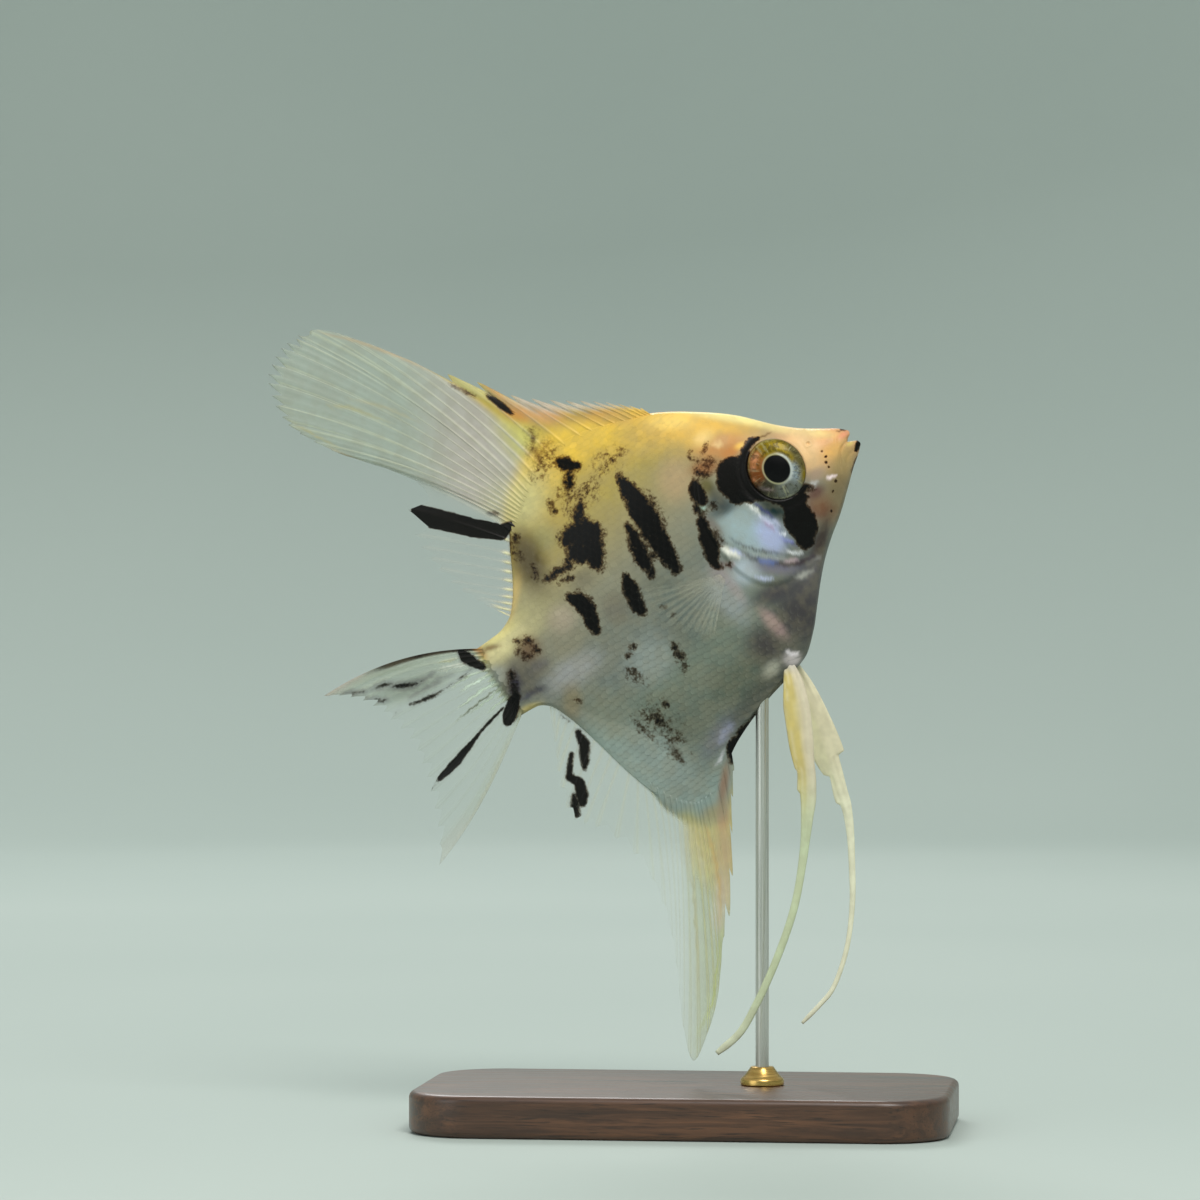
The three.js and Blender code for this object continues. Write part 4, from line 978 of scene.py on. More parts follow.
def scale_roots():
    """Where the scales start on a flank, the gaps there and how far their free edges stand out."""
    xs = spaced(0.5, 40, scale_gap_x)
    gap = scale_gap_x(xs)
    roots = []
    for row, z in enumerate(spaced(-25.5, 20.5, scale_gap_z)):
        x = xs + (row % 2) / 2 * gap
        waver = 0.5 * np.sin(x * 0.16 + z * 0.05) + 0.09 * np.sin(1.3 * x + 0.8 * z)
        roots.append(np.stack([x, z + waver, gap, np.full_like(x, scale_gap_z(z))], -1))
    x, z, gap_x, gap_z = np.concatenate(roots).T
    behind = x - gap_x * SCALE["long"]
    edge = np.minimum.reduce([back(x) - z, z - belly(x), back(behind) - z, z - belly(behind)])
    u, w = seen(x, thickness(x, z), z)
    front, _ = nearest(SCALE_FRONT, u, w)
    keep = (edge > 0.45) & (behind > -0.6) & (front < 0) & (u < 38)
    lift = scale_lift(z) * step(0, 1.2, -front) * (0.6 + 0.4 * step(6, 12, x))
    return x[keep], z[keep], gap_x[keep], gap_z[keep], lift[keep]


def arc_place(x, z, pieces=48):
    """How far round its section each place is from the middle, and the longest section."""
    low, high = belly(x), back(x)
    t = np.linspace(0.002, 0.998, pieces)[:, None]
    zs = low + (high - low) * t
    lengths = distance_round(zs, thickness(np.broadcast_to(x, zs.shape), zs), 0)
    shares = (z - low) / (high - low)
    here = [np.interp(share, t[:, 0], length) for share, length in zip(shares, lengths.T)]
    return np.array(here) - lengths[-1] / 2, lengths[-1].max()


def scale_tile():
    """One scale's rim, as places in its grid, and its faces. The rim runs up one side, round the
    free edge and down the other. A skirt hangs from it, with its own points for a crisp edge."""
    rim = [r * ACROSS for r in range(ALONG)]
    rim += [(ALONG - 1) * ACROSS + c for c in range(1, ACROSS)]
    rim += [r * ACROSS + ACROSS - 1 for r in range(ALONG - 2, -1, -1)]
    top, low = ALONG * ACROSS, ALONG * ACROSS + len(rim)  # where the skirt's two rows start
    faces = grid_faces(ALONG, ACROSS).tolist()
    faces += [(top + k, top + k + 1, low + k + 1, low + k) for k in range(len(rim) - 1)]
    return rim, np.array(faces)


def make_scales(side, material):
    x, z, gap_x, gap_z, lift = scale_roots()
    n = len(x)
    a = np.linspace(0, 1, ALONG)[:, None]  # from the root to the free edge
    b = np.linspace(-1, 1, ACROSS)[None, :]
    reach = a * (0.62 + 0.38 * np.sqrt(1 - 0.82 * b**2))  # the free edge is round
    width = (0.72 + 0.28 * np.sin(np.pi * np.clip(a * 0.9 + 0.1, 0, 1))) * b
    jitter = random.uniform(0.94, 1.06, (n, 1, 1))
    px = x[:, None, None] - reach * (gap_x * SCALE["long"])[:, None, None] * jitter
    pz = z[:, None, None] + width * (gap_z * SCALE["wide"] * 0.5)[:, None, None]
    px, pz = np.broadcast_arrays(px, pz)
    inside = np.clip(pz, belly(px) + 0.12, back(px) - 0.12)
    body = skin_half(px, inside)
    rise = (lift * random.uniform(0.85, 1.15, n))[:, None, None] * (1 - 0.45 * b**2) + SCALE["sunk"]
    height = rise * a**0.8 - SCALE["sunk"]
    top = np.stack([px, side * (body + height), inside], -1).reshape(n, -1, 3)
    low = np.stack([px, side * (body - 0.05), inside], -1).reshape(n, -1, 3)
    rim, tile = scale_tile()
    points = np.concatenate([top, top[:, rim], low[:, rim]], 1)
    count = points.shape[1]
    faces = (tile[None] + np.arange(n)[:, None, None] * count).reshape(-1, 4)
    flat = points.reshape(-1, 3)
    ob = make_object(f"scales_{SIDES[side]}", flat, faces if side > 0 else faces[:, ::-1])

    paint, dark, pearl = body_paint(*flat.T)
    tone = np.repeat(random.normal(0, 0.035, n), count)[:, None]
    grid = list(range(ALONG * ACROSS)) + rim + rim
    along, across = (np.broadcast_to(v, (ALONG, ACROSS)).ravel()[grid] for v in (a, b))
    shown = np.repeat(0.35 + 0.65 * step(8, -6, z), count)  # scales show most low on the flank
    # Rim is the share of painted highlight on the free edges, Side the share of painted shade where rows
    # overlap
    give(
        ob, Paint=np.clip(paint * (1 + tone), 0, 1), Dark=dark, Pearl=pearl, Place=flat,
        Rim=shown * np.tile(step(0.78, 1.0, along) * (1 - across**2), n),
        Side=shown * np.tile(step(0.45, 1.0, np.abs(across)), n),
    )
    arc, longest = arc_place(x, z)
    root_uv = np.stack([0.02 + 0.96 * (x + 0.8) / 42, 0.5 + 0.96 * arc / longest], -1)
    patch = 0.0015 * np.stack([1 - 2 * along, across], -1)
    give_map(ob, (root_uv[:, None] + patch[None]).reshape(-1, 2))
    finish_piece(ob, material, "skin")


# ---------- eyes ----------
LENS_RISE = 0.14  # how far the lens stands out over the dome
BOWL_DEPTH = 0.9  # how deep the eyeball reaches behind its rim
IRIS = [  # colour, heading and spread in degrees: 0 to the snout, 90 up
    ((140, 86, 34), 142, 62), ((116, 62, 22), 180, 50), ((64, 62, 48), 222, 52),
    ((104, 108, 100), 270, 46),
]
IRIS_FLECKS = [  # across, up and size
    (-1.5, 2.3, 0.45), (-0.9, 2.7, 0.3), (-2.2, 1.6, 0.3), (-2.9, 0.4, 0.25),
]
IRIS_STREAK = [(-3, -0.7), (-2.1, -1.5), (-1.6, -2)]
PUPIL = (0.1, -0.07)  # its middle lies a little off the eye's


def eye_points(spokes, steps):
    """Rings from the middle of the dome to the rim and on to the middle of the bowl behind it, then
    those two middles: across, out and up."""
    radii, turns = np.linspace(0, 1, steps + 1)[1:], np.arange(spokes) / spokes * 2 * np.pi
    r, turn = np.meshgrid(radii, turns, indexing="ij")
    across, up = r * np.cos(turn) * EYE["long"], r * np.sin(turn) * EYE["tall"]
    dome = EYE["dome"] * np.sqrt(np.clip(1 - r**2.2, 0, 1))
    dome = dome + LENS_RISE * hill(r, 0.42) - 0.05 * hill(r - 0.55, 0.05)
    bowl = -BOWL_DEPTH * np.sqrt(np.clip(1 - r**2, 0, 1))
    front = np.stack([across, dome, up], -1)
    rear = np.stack([across, bowl, up], -1)[-2::-1]
    middles = [[0, EYE["dome"] + LENS_RISE, 0], [0, -BOWL_DEPTH, 0]]
    return np.vstack([front.reshape(-1, 3), rear.reshape(-1, 3), middles])


def eye_paint(across, up, radius, angle):
    """The colours of the iris by direction, then its edges, its bright ring and the pupil."""
    def beside(heading, spread):
        """1 towards a heading in degrees, falling to 0 at spread degrees from it."""
        turned = np.abs((np.degrees(angle) - heading + 180) % 360 - 180)
        return step(spread, spread * 0.35, turned)

    colour = np.broadcast_to(rgb(132, 112, 14), (len(across), 3))
    for paint, heading, spread in IRIS:
        colour = mix(colour, rgb(*paint), beside(heading, spread))
    colour = mix(colour, rgb(140, 152, 158), beside(320, 40) * step(0.95, 0.7, radius))
    colour = mix(colour, rgb(96, 88, 50), beside(0, 50) * step(0.62, 0.86, radius))
    for fleck_across, fleck_up, size in IRIS_FLECKS:
        away = np.hypot(across - fleck_across, up - fleck_up)
        colour = mix(colour, rgb(206, 136, 92), 0.8 * hill(away, size))
    d, along = nearest(IRIS_STREAK, across, up)
    ends = np.sin(np.pi * np.clip(along, 0.1, 0.9))
    colour = mix(colour, rgb(150, 130, 130), 0.7 * hill(d, 0.22) * ends)
    colour = mix(colour, rgb(168, 166, 140), 0.9 * hill(radius - 0.955, 0.04) * beside(242, 40))
    colour = mix(colour, rgb(176, 168, 110), 0.4 * hill(radius - 0.93, 0.03) * beside(110, 70))
    lit = beside(-20, 95)
    ring = np.hypot((across - PUPIL[0]) / EYE["long"], (up - PUPIL[1]) / EYE["tall"])
    colour = mix(colour, rgb(176, 172, 134), 0.85 * hill(ring - 0.475, 0.03) * (1 - 0.5 * lit))
    colour = mix(colour, rgb(190, 196, 192), 0.9 * lit * hill(ring - 0.5, 0.055))
    colour = mix(colour, rgb(60, 50, 22), 0.7 * step(0.965, 0.99, radius))
    return mix(colour, rgb(2, 2, 3), step(0.465, 0.435, ring))


def make_eye(side, material):
    """A shallow dome with a fuller lens in the middle, painted by distance and direction."""
    spokes, steps = 96, 40
    local = eye_points(spokes, steps)
    rings = 2 * steps - 1
    last = (rings - 1) * spokes
    pairs = [(i, (i + 1) % spokes) for i in range(spokes)]
    faces = grid_faces(rings, spokes, wrap=True).tolist()
    faces += [(rings * spokes, i, after) for i, after in pairs]
    faces += [(rings * spokes + 1, last + after, last + i) for i, after in pairs]
    across, out, up = local.T
    toe = math.radians(EYE["toe"])
    x = across * math.cos(toe) + out * math.sin(toe)
    y = out * math.cos(toe) - across * math.sin(toe)
    points = np.stack([EYE["x"] + x, side * (EYE["y"] + y), EYE["z"] + up], -1)
    ob = make_object(f"eyeball_{SIDES[side]}", points, faces)
    turn_outwards(ob)
    radius = np.hypot(across / EYE["long"], up / EYE["tall"])
    angle = np.arctan2(up, across)  # 0 to the snout
    give(
        ob, Paint=eye_paint(across, up, radius, angle), Place=points,
        Iris=step(0.5, 0.62, radius) * step(0.99, 0.93, radius),
        Spoke=np.stack([np.cos(angle) * 2.2, np.sin(angle) * 2.2, radius * 0.5], -1),
    )
    finish_piece(ob, material, "eye", f"eye_{SIDES[side]}")


# ---------- fins ----------
FIN_SUNK = 1.2  # how deep the roots of the fins lie in the body
# The fins' guide lines: the x of each root (on the tail fin its z), and the x and z of its tip.
DORSAL_RAYS = [
    [32.5, 32.1, 18.1], [31.4, 29.8, 20.4], [29.7, 27.2, 22.5], [27, 23.9, 24.9], [23.6, 20, 28.3],
    [21.6, 17.6, 31.7], [19.6, 15.2, 34.6], [17.8, 12, 38.9], [16.2, 8.3, 44.3], [14.8, 4.3, 48.6],
    [13.7, 0.1, 49.4], [12.9, -3.7, 47], [12.2, -4.8, 41.7], [11.6, -2.8, 36.4], [11.1, 1.9, 30.3],
    [10.6, 4.3, 26.1], [9.9, 1.6, 24.2], [9, 0.6, 20.8], [8, 0.4, 17.6], [6.9, 1, 14],
    [5.9, 2.4, 10.6], [4.9, 3.8, 8],
]
ANAL_RAYS = [
    [17.9, 17.3, -23.8], [16.9, 15.4, -26.4], [15.9, 13.4, -29.2], [14.8, 11.6, -32],
    [13.8, 9.4, -35.3], [12.8, 7.4, -37.8], [12, 5, -40.1], [11.3, 2.6, -42.9],
    [10.7, 0.3, -45.6], [10.1, -2.6, -48.1], [9.5, -6.2, -50.2], [8.9, -5, -46],
    [8.3, -2.4, -41.2], [7.7, 0.2, -35.6], [7.1, 1.6, -30], [6.6, 1.2, -24.8], [6, -0.6, -20.6],
    [5.4, -2.5, -18.2], [4.6, -1.3, -13.2], [3.7, 0.7, -9.6], [2.9, 2, -7.1],
]
CAUDAL_RAYS = [
    [4.8, -19.4, 11.1], [3.9, -16.9, 9.2], [2.7, -15.2, 6.8], [1.6, -14.3, 4.2], [0.4, -13.9, 1],
    [-0.7, -14.1, -2.4], [-1.9, -15.2, -5.8], [-3, -16.8, -9.8], [-4, -19.2, -13.7],
]
# How the rays lie over the guide lines, as (ray, guide): first the spines, then the soft rays.
DORSAL_SPREAD = [
    (0, 0), (9, 3.95), (10, 5), (11, 6), (12, 7), (13, 7.7), (14, 8.4), (15, 9), (17, 10), (19, 11),
    (22, 12.6), (24, 14), (25, 14.9), (26, 16), (27, 16.9), (35, 21),
]
ANAL_SPREAD = [(0, 0), (1, 0.95), (2, 2.2), (3, 3.6), (4, 5.1), (5, 6), (6, 7), (12, 11), (20, 16), (29, 20)]
CAUDAL_SPREAD = [(0, 0), (16, 8)]
PECTORAL_SPREAD = [(0, 0), (11, 4)]
# Places across the web from one ray to the next, close together at the rays.
PHASES = np.array([0, 0.06, 0.13, 0.22, 0.34, 0.5, 0.66, 0.78, 0.87, 0.94])


def fin_surface(
    guides, spread, root, bow, aside, steps,
    notch=1.2, ragged=0.3, spines=0, bite=0.2, smooth=(0, 0), frayed=(0, 0),
):
    """The fin's middle surface: points, the way along each ray (0 to 1), the distance in mm from
    the nearest ray, and the ray's number. Behind each spine the web's edge drops away. Between the
    two smooth rays the edge is even; between the two frayed ones each branch of a ray has its tip.
    bow bends the rays by a share of their length, and aside moves the web off the middle plane."""
    rays = spread[-1][0] + 1
    numbers = np.concatenate([(i + PHASES) for i in range(rays - 1)] + [[rays - 1]])
    t = np.interp(numbers, *np.array(spread, float).T) / (len(guides) - 1)
    r, tip_x, tip_z = curve_at(guides, t).T
    foot = np.stack(root(r), -1)
    tip = np.stack([tip_x, tip_z], -1)
    length = np.linalg.norm(tip - foot, axis=1)
    way = (tip - foot) / length[:, None]
    foot = foot - way * FIN_SUNK

    # the edge's notches, behind the spines and between the soft rays or their branches
    phase = numbers % 1
    split = (numbers > frayed[0]) & (numbers < frayed[1])
    branch = np.where(split, (2 * numbers + 0.5) % 1, phase)
    uneven = 1 - step(smooth[0] - 1, smooth[0], numbers) * step(smooth[1] + 1, smooth[1], numbers)
    scallop = np.minimum(notch, 0.2 * length) * (np.minimum(branch, 1 - branch) / 0.5) ** 0.7 * uneven
    tooth = np.interp(phase, [0.15, 0.22, 0.32, 0.6, 1], [0, 0.35, 1, 0.5, 0])
    saw = np.minimum(2.3, bite * length) * tooth
    tears = random.uniform(0.6, 1.25, rays)[numbers.astype(int)]
    deep = np.where(numbers < spines, saw, scallop * tears)
    short = np.interp(numbers, np.arange(rays), random.uniform(0, ragged, rays)) * uneven
    fringe = step(frayed[0], frayed[0] + 2, numbers) * step(frayed[1], frayed[1] - 2, numbers)
    short = short - 0.5 * fringe
    tip = tip - way * (deep + short * np.minimum(1, length / 10))[:, None]

    knee = (foot + tip) / 2 + np.abs(way[:, ::-1]) * (bow(t) * length)[:, None]
    s = np.linspace(0, 1, steps + 1)
    sc = s[None, :, None]
    flat = foot[:, None] * (1 - sc) ** 2 + 2 * knee[:, None] * sc * (1 - sc) + tip[:, None] * sc**2
    off = np.broadcast_to(aside(t[:, None], s[None, :]), flat.shape[:2])
    points = np.stack([flat[..., 0], off, flat[..., 1]], -1)
    # distance from the nearest ray, across the fin
    ray_columns = np.array([int(np.argmin(np.abs(numbers - i))) for i in range(rays)])
    near = np.rint(numbers).astype(int)
    away = np.linalg.norm(points - points[ray_columns[near]], axis=-1)
    return points, np.broadcast_to(s, away.shape), away, np.broadcast_to(numbers[:, None], away.shape)


def ray_shape(s, away, thick=0.17, thin=0.05, web=0.045, split=0.5, apart=0.34):
    """Half the fin's thickness, with one ridge for each ray that splits in two, and the rays' share
    of its colour."""
    fork = apart * np.clip((s - split) / (1 - split), 0, 1)
    width = 0.17 - 0.07 * s
    half = web + (thick + (thin - thick) * s) * hill(away - fork, width)
    return half, hill(away - fork, 1.6 * width)


def make_fin(name, surface, half, paint, dark, clear, material, node):
    """A closed thin slab round a fin's middle surface."""
    columns, steps = surface.shape[:2]
    normal = np.cross(np.gradient(surface, axis=0), np.gradient(surface, axis=1))
    normal /= np.maximum(np.linalg.norm(normal, axis=-1, keepdims=True), 1e-9)
    taper = np.ones((columns, steps))
    taper[:, -1] = 0.35
    spread = normal * (half * taper)[..., None]
    rings = np.concatenate([surface - spread, (surface + spread)[:, ::-1]], 1)
    faces = grid_faces(columns, 2 * steps, wrap=True).tolist()
    first = [(i, i + 1, 2 * steps - 2 - i, 2 * steps - 1 - i) for i in range(steps - 1)]
    last = (columns - 1) * 2 * steps
    faces += [tuple(reversed(f)) for f in first] + [tuple(last + k for k in f) for f in first]
    flat = rings.reshape(-1, 3)
    ob = make_object(name, flat, faces)
    turn_outwards(ob)
    paint, dark, clear = (np.concatenate([v, v[:, ::-1]], 1) for v in (paint, dark, clear))
    give(ob, Paint=paint.reshape(-1, 3), Dark=dark.ravel(), Clear=clear.ravel(), Place=flat)
    finish_piece(ob, material, "fin_web", node)


def lerp_colour(a, b, share):
    """A colour for each place, from one sRGB colour to another."""
    return mix(np.broadcast_to(rgb(*a), np.shape(share) + (3,)), rgb(*b), share)


DORSAL_DARK = [
    (1.3, 0.25, [
        (11.2, 15.3, 0.4), (9.7, 15.3, 0.95), (7.3, 17.5, 1.1), (5.3, 19.7, 1.15), (3.7, 21.5, 1.2),
        (2.8, 22.9, 0.9),
    ]),
    (1.1, 0.25, [(18.7, 26.5, 0.2), (18.2, 28, 0.4), (17.6, 29.6, 0.25)]),
    (0.6, 0.35, [(16.2, 30.6, 0.2), (15.4, 32, 0.25), (14.6, 33.4, 0.2)]),
    (0.8, 0.4, [(9.8, 17.9, 0.2), (10.6, 17.4, 0.2)]),
    (0.46, 1.6, [(18.2, 20.6, 0.8), (19.4, 23, 0.6)]),
    (0.62, 0.4, [(19.6, 23.6, 0.2), (19.2, 22.4, 0.25), (18.4, 21.4, 0.2)]),
]
DORSAL_TINTS = [
    ("lobe root", (196, 190, 146), 0.85, (13, 18), (4.2, 2.6), 0),
    ("yellow strip", (222, 214, 124), 0.95, (18, 21.6), (2.1, 5.4), 6),
    ("orange", (218, 150, 60), 0.95, (19.2, 26.2), (2, 1), -58),
    ("amber", (214, 152, 66), 0.8, (18.6, 29), (2.4, 0.45), -72),
    ("salmon", (230, 172, 122), 0.85, (22, 24.2), (3.4, 1.4), -50),
    ("gold", (198, 158, 82), 0.8, (26, 20.4), (4.6, 1.2), -32),
    ("orange edge", (206, 146, 88), 0.8, (28.4, 19.8), (3, 0.7), -38),
    ("last spine", (212, 206, 134), 0.8, (16.4, 31.8), (3.6, 0.7), -62),
    ("band rim", (96, 74, 40), 0.9, (7.6, 18.9), (2.6, 0.4), -48),
]
DORSAL_LINES = [
    ((206, 170, 120), 0.22, 0.7, [(4.6, 47.8), (8, 44.2), (11, 40), (13.6, 35.8)]),
    ((208, 196, 130), 0.22, 0.6, [(0.6, 39.8), (3, 38), (6, 33.6)]),
    ((208, 192, 140), 0.2, 0.5, [(3, 39.4), (6.4, 35.8), (9, 31.6)]),
    ((206, 190, 120), 0.16, 0.6, [(-3.9, 40.6), (-2.2, 37), (-0.6, 34.2)]),
    ((206, 180, 130), 0.16, 0.6, [(-2.2, 36), (0, 32.4), (2, 29.6)]),
]
CAUDAL_DARK = [
    (0.75, 0.5, [(-17, 9.9, 0.2), (-15.8, 9.2, 0.4), (-14.6, 8.6, 0.2)]),
    (0.66, 0.5, [(-15, 7.8, 0.3), (-14.2, 7, 0.5), (-13.2, 6.4, 0.4)]),
    (0.7, 0.5, [(-13.8, 8.4, 0.3), (-12.6, 8.1, 0.5), (-11.4, 7.6, 0.35)]),
    (0.72, 0.5, [
        (-11.4, 7.2, 0.4), (-10.4, 6.6, 0.6), (-9, 5.9, 0.5), (-8.2, 5.8, 0.3), (-6.4, 5.8, 0.15),
    ]),
    (0.8, 0.4, [(-11, 4.3, 0.25), (-9.6, 3.9, 0.4), (-8, 3.55, 0.4), (-6.8, 3.5, 0.2)]),
    (0.6, 0.35, [(-6.8, 3.5, 0.25), (-4.6, 3.5, 0.25), (-2.4, 3.6, 0.3)]),
    (0.6, 0.4, [(-10.6, 5, 0.25), (-8.4, 4.8, 0.35), (-6, 4.5, 0.2)]),
    (0.6, 0.5, [(-14.2, 4.7, 0.25), (-13.2, 4.5, 0.35), (-12.2, 4.4, 0.2)]),
    (0.52, 0.4, [(-4.6, 4.3, 0.3), (-6.4, 5, 0.3)]),
    (1.0, 0.25, [
        (-2, -2.4, 0.2), (-4.4, -2.85, 0.2), (-6, -3.3, 0.2), (-8, -3.9, 0.4), (-10, -4.5, 0.55),
        (-12, -4.9, 0.5), (-13.2, -5.1, 0.3),
    ]),
    (0.6, 0.4, [(-13.6, -5.2, 0.3), (-14.8, -5.6, 0.3)]),
]
CAUDAL_LINES = [
    # the first seven: the rays' pale bases, each brightened by a painted glint
    ((250, 252, 244), 0.3, 1.0, [(-6.4, 5.9), (-4, 5.1), (-2, 4.3)]),
    ((222, 218, 184), 0.2, 0.8, [(-5.6, 6.6), (-4.2, 6.1), (-3, 5.5)]),
    ((222, 240, 222), 0.15, 0.8, [(-6, 3.2), (-3.4, 3.2), (-1.2, 2.7)]),
    ((236, 250, 238), 0.18, 1.0, [(-5.2, 2.2), (-2.4, 2), (-0.2, 1.6)]),
    ((220, 240, 222), 0.17, 0.85, [(-6.6, 0.6), (-3, 0.8), (0, 0.75)]),
    ((210, 232, 210), 0.13, 0.6, [(-5.8, -0.7), (-2.6, -0.5), (-0.2, -0.3)]),
    ((210, 232, 210), 0.13, 0.6, [(-4, -1.8), (-2, -1.6), (-0.2, -1.3)]),
    ((20, 40, 30), 0.12, 0.9, [(-7.6, -0.5), (-4, -0.2), (-0.6, 0)]),
    ((206, 186, 150), 0.42, 0.34, [(0, -4.5), (-4, -6.4), (-8, -8.9), (-12, -11), (-20, -14)]),
    ((150, 158, 120), 0.6, 0.45, [(-4, 6.6), (-9, 8.4), (-13, 9.7), (-16.6, 10.2)]),
]
ANAL_DARK = [
    (0.95, 0.5, [(4, -9.8, 0.45), (3.8, -11.4, 0.8), (2.8, -13, 0.65), (2.1, -13.9, 0.35)]),
    (0.9, 0.4, [(1.8, -11.6, 0.4), (0.8, -12.7, 0.45), (0.1, -13.7, 0.55)]),
    (1.05, 0.45, [(0.2, -13.7, 0.5), (0.7, -14.9, 0.7), (0.3, -16.2, 0.8), (-0.3, -17, 0.6)]),
    (0.85, 0.5, [(-0.7, -15.8, 0.45), (-1.1, -16.9, 0.75), (-1.6, -17.9, 0.5)]),
    (0.62, 0.5, [(3.4, -7, 0.4), (3.9, -8.2, 0.35)]),
    (1.0, 0.4, [(17.9, -22.6, 0.4), (17.2, -23.1, 0.2)]),
]
ANAL_TINTS = [
    ("reddish brown", (118, 80, 64), 0.85, (15.6, -24.6), (1.9, 0.6), 48),
    ("brown orange", (188, 142, 104), 0.85, (13, -27.4), (2.8, 0.9), 55),
    ("tan", (202, 172, 128), 0.85, (10.7, -31.4), (3, 1.1), 58),
    ("pinkish tan", (206, 186, 160), 0.85, (7.8, -35.4), (3, 1.1), 58),
    ("cream", (222, 208, 180), 0.8, (5.7, -37.4), (2.4, 0.9), 56),
    ("web", (200, 186, 112), 0.6, (9.2, -28), (1.6, 2.6), -10),
    ("grey root", (134, 144, 134), 0.85, (11.4, -24.4), (3, 1.3), 0),
]
ANAL_LINES = [
    ((214, 172, 88), 0.3, 0.7, [(10.6, -27), (9.4, -31), (7.6, -35), (5, -38.8)]),
    ((208, 202, 170), 0.3, 0.6, [(8.4, -28.6), (7.4, -31.4), (5.4, -35.4)]),
    ((190, 176, 110), 0.22, 0.6, [(6.8, -28), (5, -33), (1, -40), (-3, -45.6)]),
    ((196, 204, 112), 0.3, 0.8, [(5.4, -38.8), (2, -42.7), (-0.6, -45.7), (-5.6, -48.8)]),
]


def into_body(points, rim, paint, clear, half, dark):
    """Blends a fin's root into the body: the body's paint and marks, opaque and thicker there. rim
    is how far a place lies beyond the body's edge."""
    x, y, z = np.moveaxis(points, -1, 0)
    skin, body_dark, _ = body_paint(x, y * 0, z)
    near = step(2.6, 0.1, rim)[..., None]
    paint = paint + (skin - paint) * near
    near = near[..., 0]
    clear = clear + (1 - clear) * step(2.6, 0.3, rim)
    half = half + 0.3 * step(2.4, -0.4, rim) ** 1.5
    return paint, clear, half, np.maximum(dark, body_dark * near)


def make_dorsal(material):
    points, s, away, number = fin_surface(
        DORSAL_RAYS, DORSAL_SPREAD, lambda r: (r, back(r)), lambda t: 0.09 * np.sin(np.pi * t) ** 2,
        lambda t, s: 1.4 * np.sin(np.pi * t) ** 2 * s * s, 56,
        notch=1.9, spines=12, bite=0.5, smooth=(12, 15), frayed=(16, 23),
    )
    half, ridge = ray_shape(s, away, thick=0.12, apart=0.5)
    x, z = points[..., 0], points[..., 2]
    u, w = seen(x, 0 * x, z)
    above = z - back(np.clip(x, 5, 33))
    spiny = step(12, 11.2, number)  # the front rays are spines in a yellow web
    rear = step(23.4, 25.6, number)  # behind the lobe the web is clear
    tips = spiny * step(0.5, 0.85, s) * step(18, 21, x)
    web = lerp_colour((196, 188, 180), (176, 186, 172), step(8, 26, above))
    web = mix(web, rgb(206, 178, 78), spiny)
    web = tinted(web, DORSAL_TINTS, u, w)
    web = mix(web, rgb(204, 190, 172), 0.85 * tips)
    rays = lerp_colour((222, 216, 196), (206, 210, 184), step(8, 28, above))
    rays = mix(rays, web, 0.8 * spiny)
    rays = mix(rays, rgb(238, 222, 206), tips)
    paint = web + (rays - web) * (ridge * 0.7)[..., None]
    clear = 0.72 - 0.26 * step(6, 30, above)
    clear = np.where(spiny > 0.5, 0.84 - 0.34 * step(0.75, 1, s), clear)
    clear = clear * (1 - rear) + 0.03 * rear
    clear = clear + (0.68 - 0.5 * rear - clear) * ridge * (0.7 - 0.2 * rear)
    # the rear rays' pale roots, brightened by a painted glint
    root = hill(above - 0.8, 1.1) * rear * ridge  # short bright streaks
    clear, paint = clear + (0.95 - clear) * root, mix(paint, rgb(240, 236, 190), 0.9 * root)
    lobe = np.clip(1 - spiny - rear, 0, 1)
    lines, cover = lined(paint, DORSAL_LINES, u, w)
    paint, clear = mix(paint, lines, lobe), np.maximum(clear, 0.8 * cover * lobe)
    dark = dark_field(DORSAL_DARK, u, w)
    rim = above + 2 * step(24.5, 26, number)
    paint, clear, half, dark = into_body(points, rim, paint, clear, half, dark)
    make_fin("fin_dorsal", points, half, paint, dark, clear, material, "dorsal_fin")


def make_anal(material):
    points, s, away, number = fin_surface(
        ANAL_RAYS, ANAL_SPREAD, lambda r: (r, belly(r)), lambda t: 0.07 * np.sin(np.pi * t),
        lambda t, s: -1.3 * np.sin(np.pi * t) ** 2 * s * s, 60, spines=5, bite=0.34, smooth=(6, 11),
    )
    half, ridge = ray_shape(s, away)
    x, z = points[..., 0], points[..., 2]
    u, w = seen(x, 0 * x, z)
    below = belly(np.clip(x, 3, 18)) - z
    rear = step(8.5, 13, number)
    edge = hill(number - 5.4, 1.1)  # the long spine and first ray, which run to the tip
    front = step(6.4, 4.2, number)
    web = lerp_colour((208, 196, 130), (176, 186, 136), step(6, 22, below))
    web = tinted(web, ANAL_TINTS, u, w)
    web = mix(web, rgb(190, 198, 180), rear)
    rays = lerp_colour((226, 212, 152), (206, 204, 150), step(6, 24, below))
    rays = mix(rays, web, 0.6 * front)
    paint = web + (rays - web) * (ridge * 0.7)[..., None]
    paint, cover = lined(paint, ANAL_LINES, u, w)
    clear = (0.62 - 0.3 * step(8, 22, below)) * (1 - rear) + 0.035 * rear
    clear = clear + (0.6 - clear) * edge * step(8, 14, below) * 0.6
    clear = clear + (0.62 - 0.42 * rear - clear) * ridge * (0.7 - 0.2 * rear)
    clear = np.maximum(clear, 0.7 * front * step(24, 14, below))
    clear = np.maximum(clear, 0.7 * cover)
    dark = dark_field(ANAL_DARK, u, w)
    rim = below * 0.8 + 2 * step(14, 17, number)
    paint, clear, half, dark = into_body(points, rim, paint, clear, half, dark)
    make_fin("fin_anal", points, half, paint, dark, clear, material, "anal_fin")


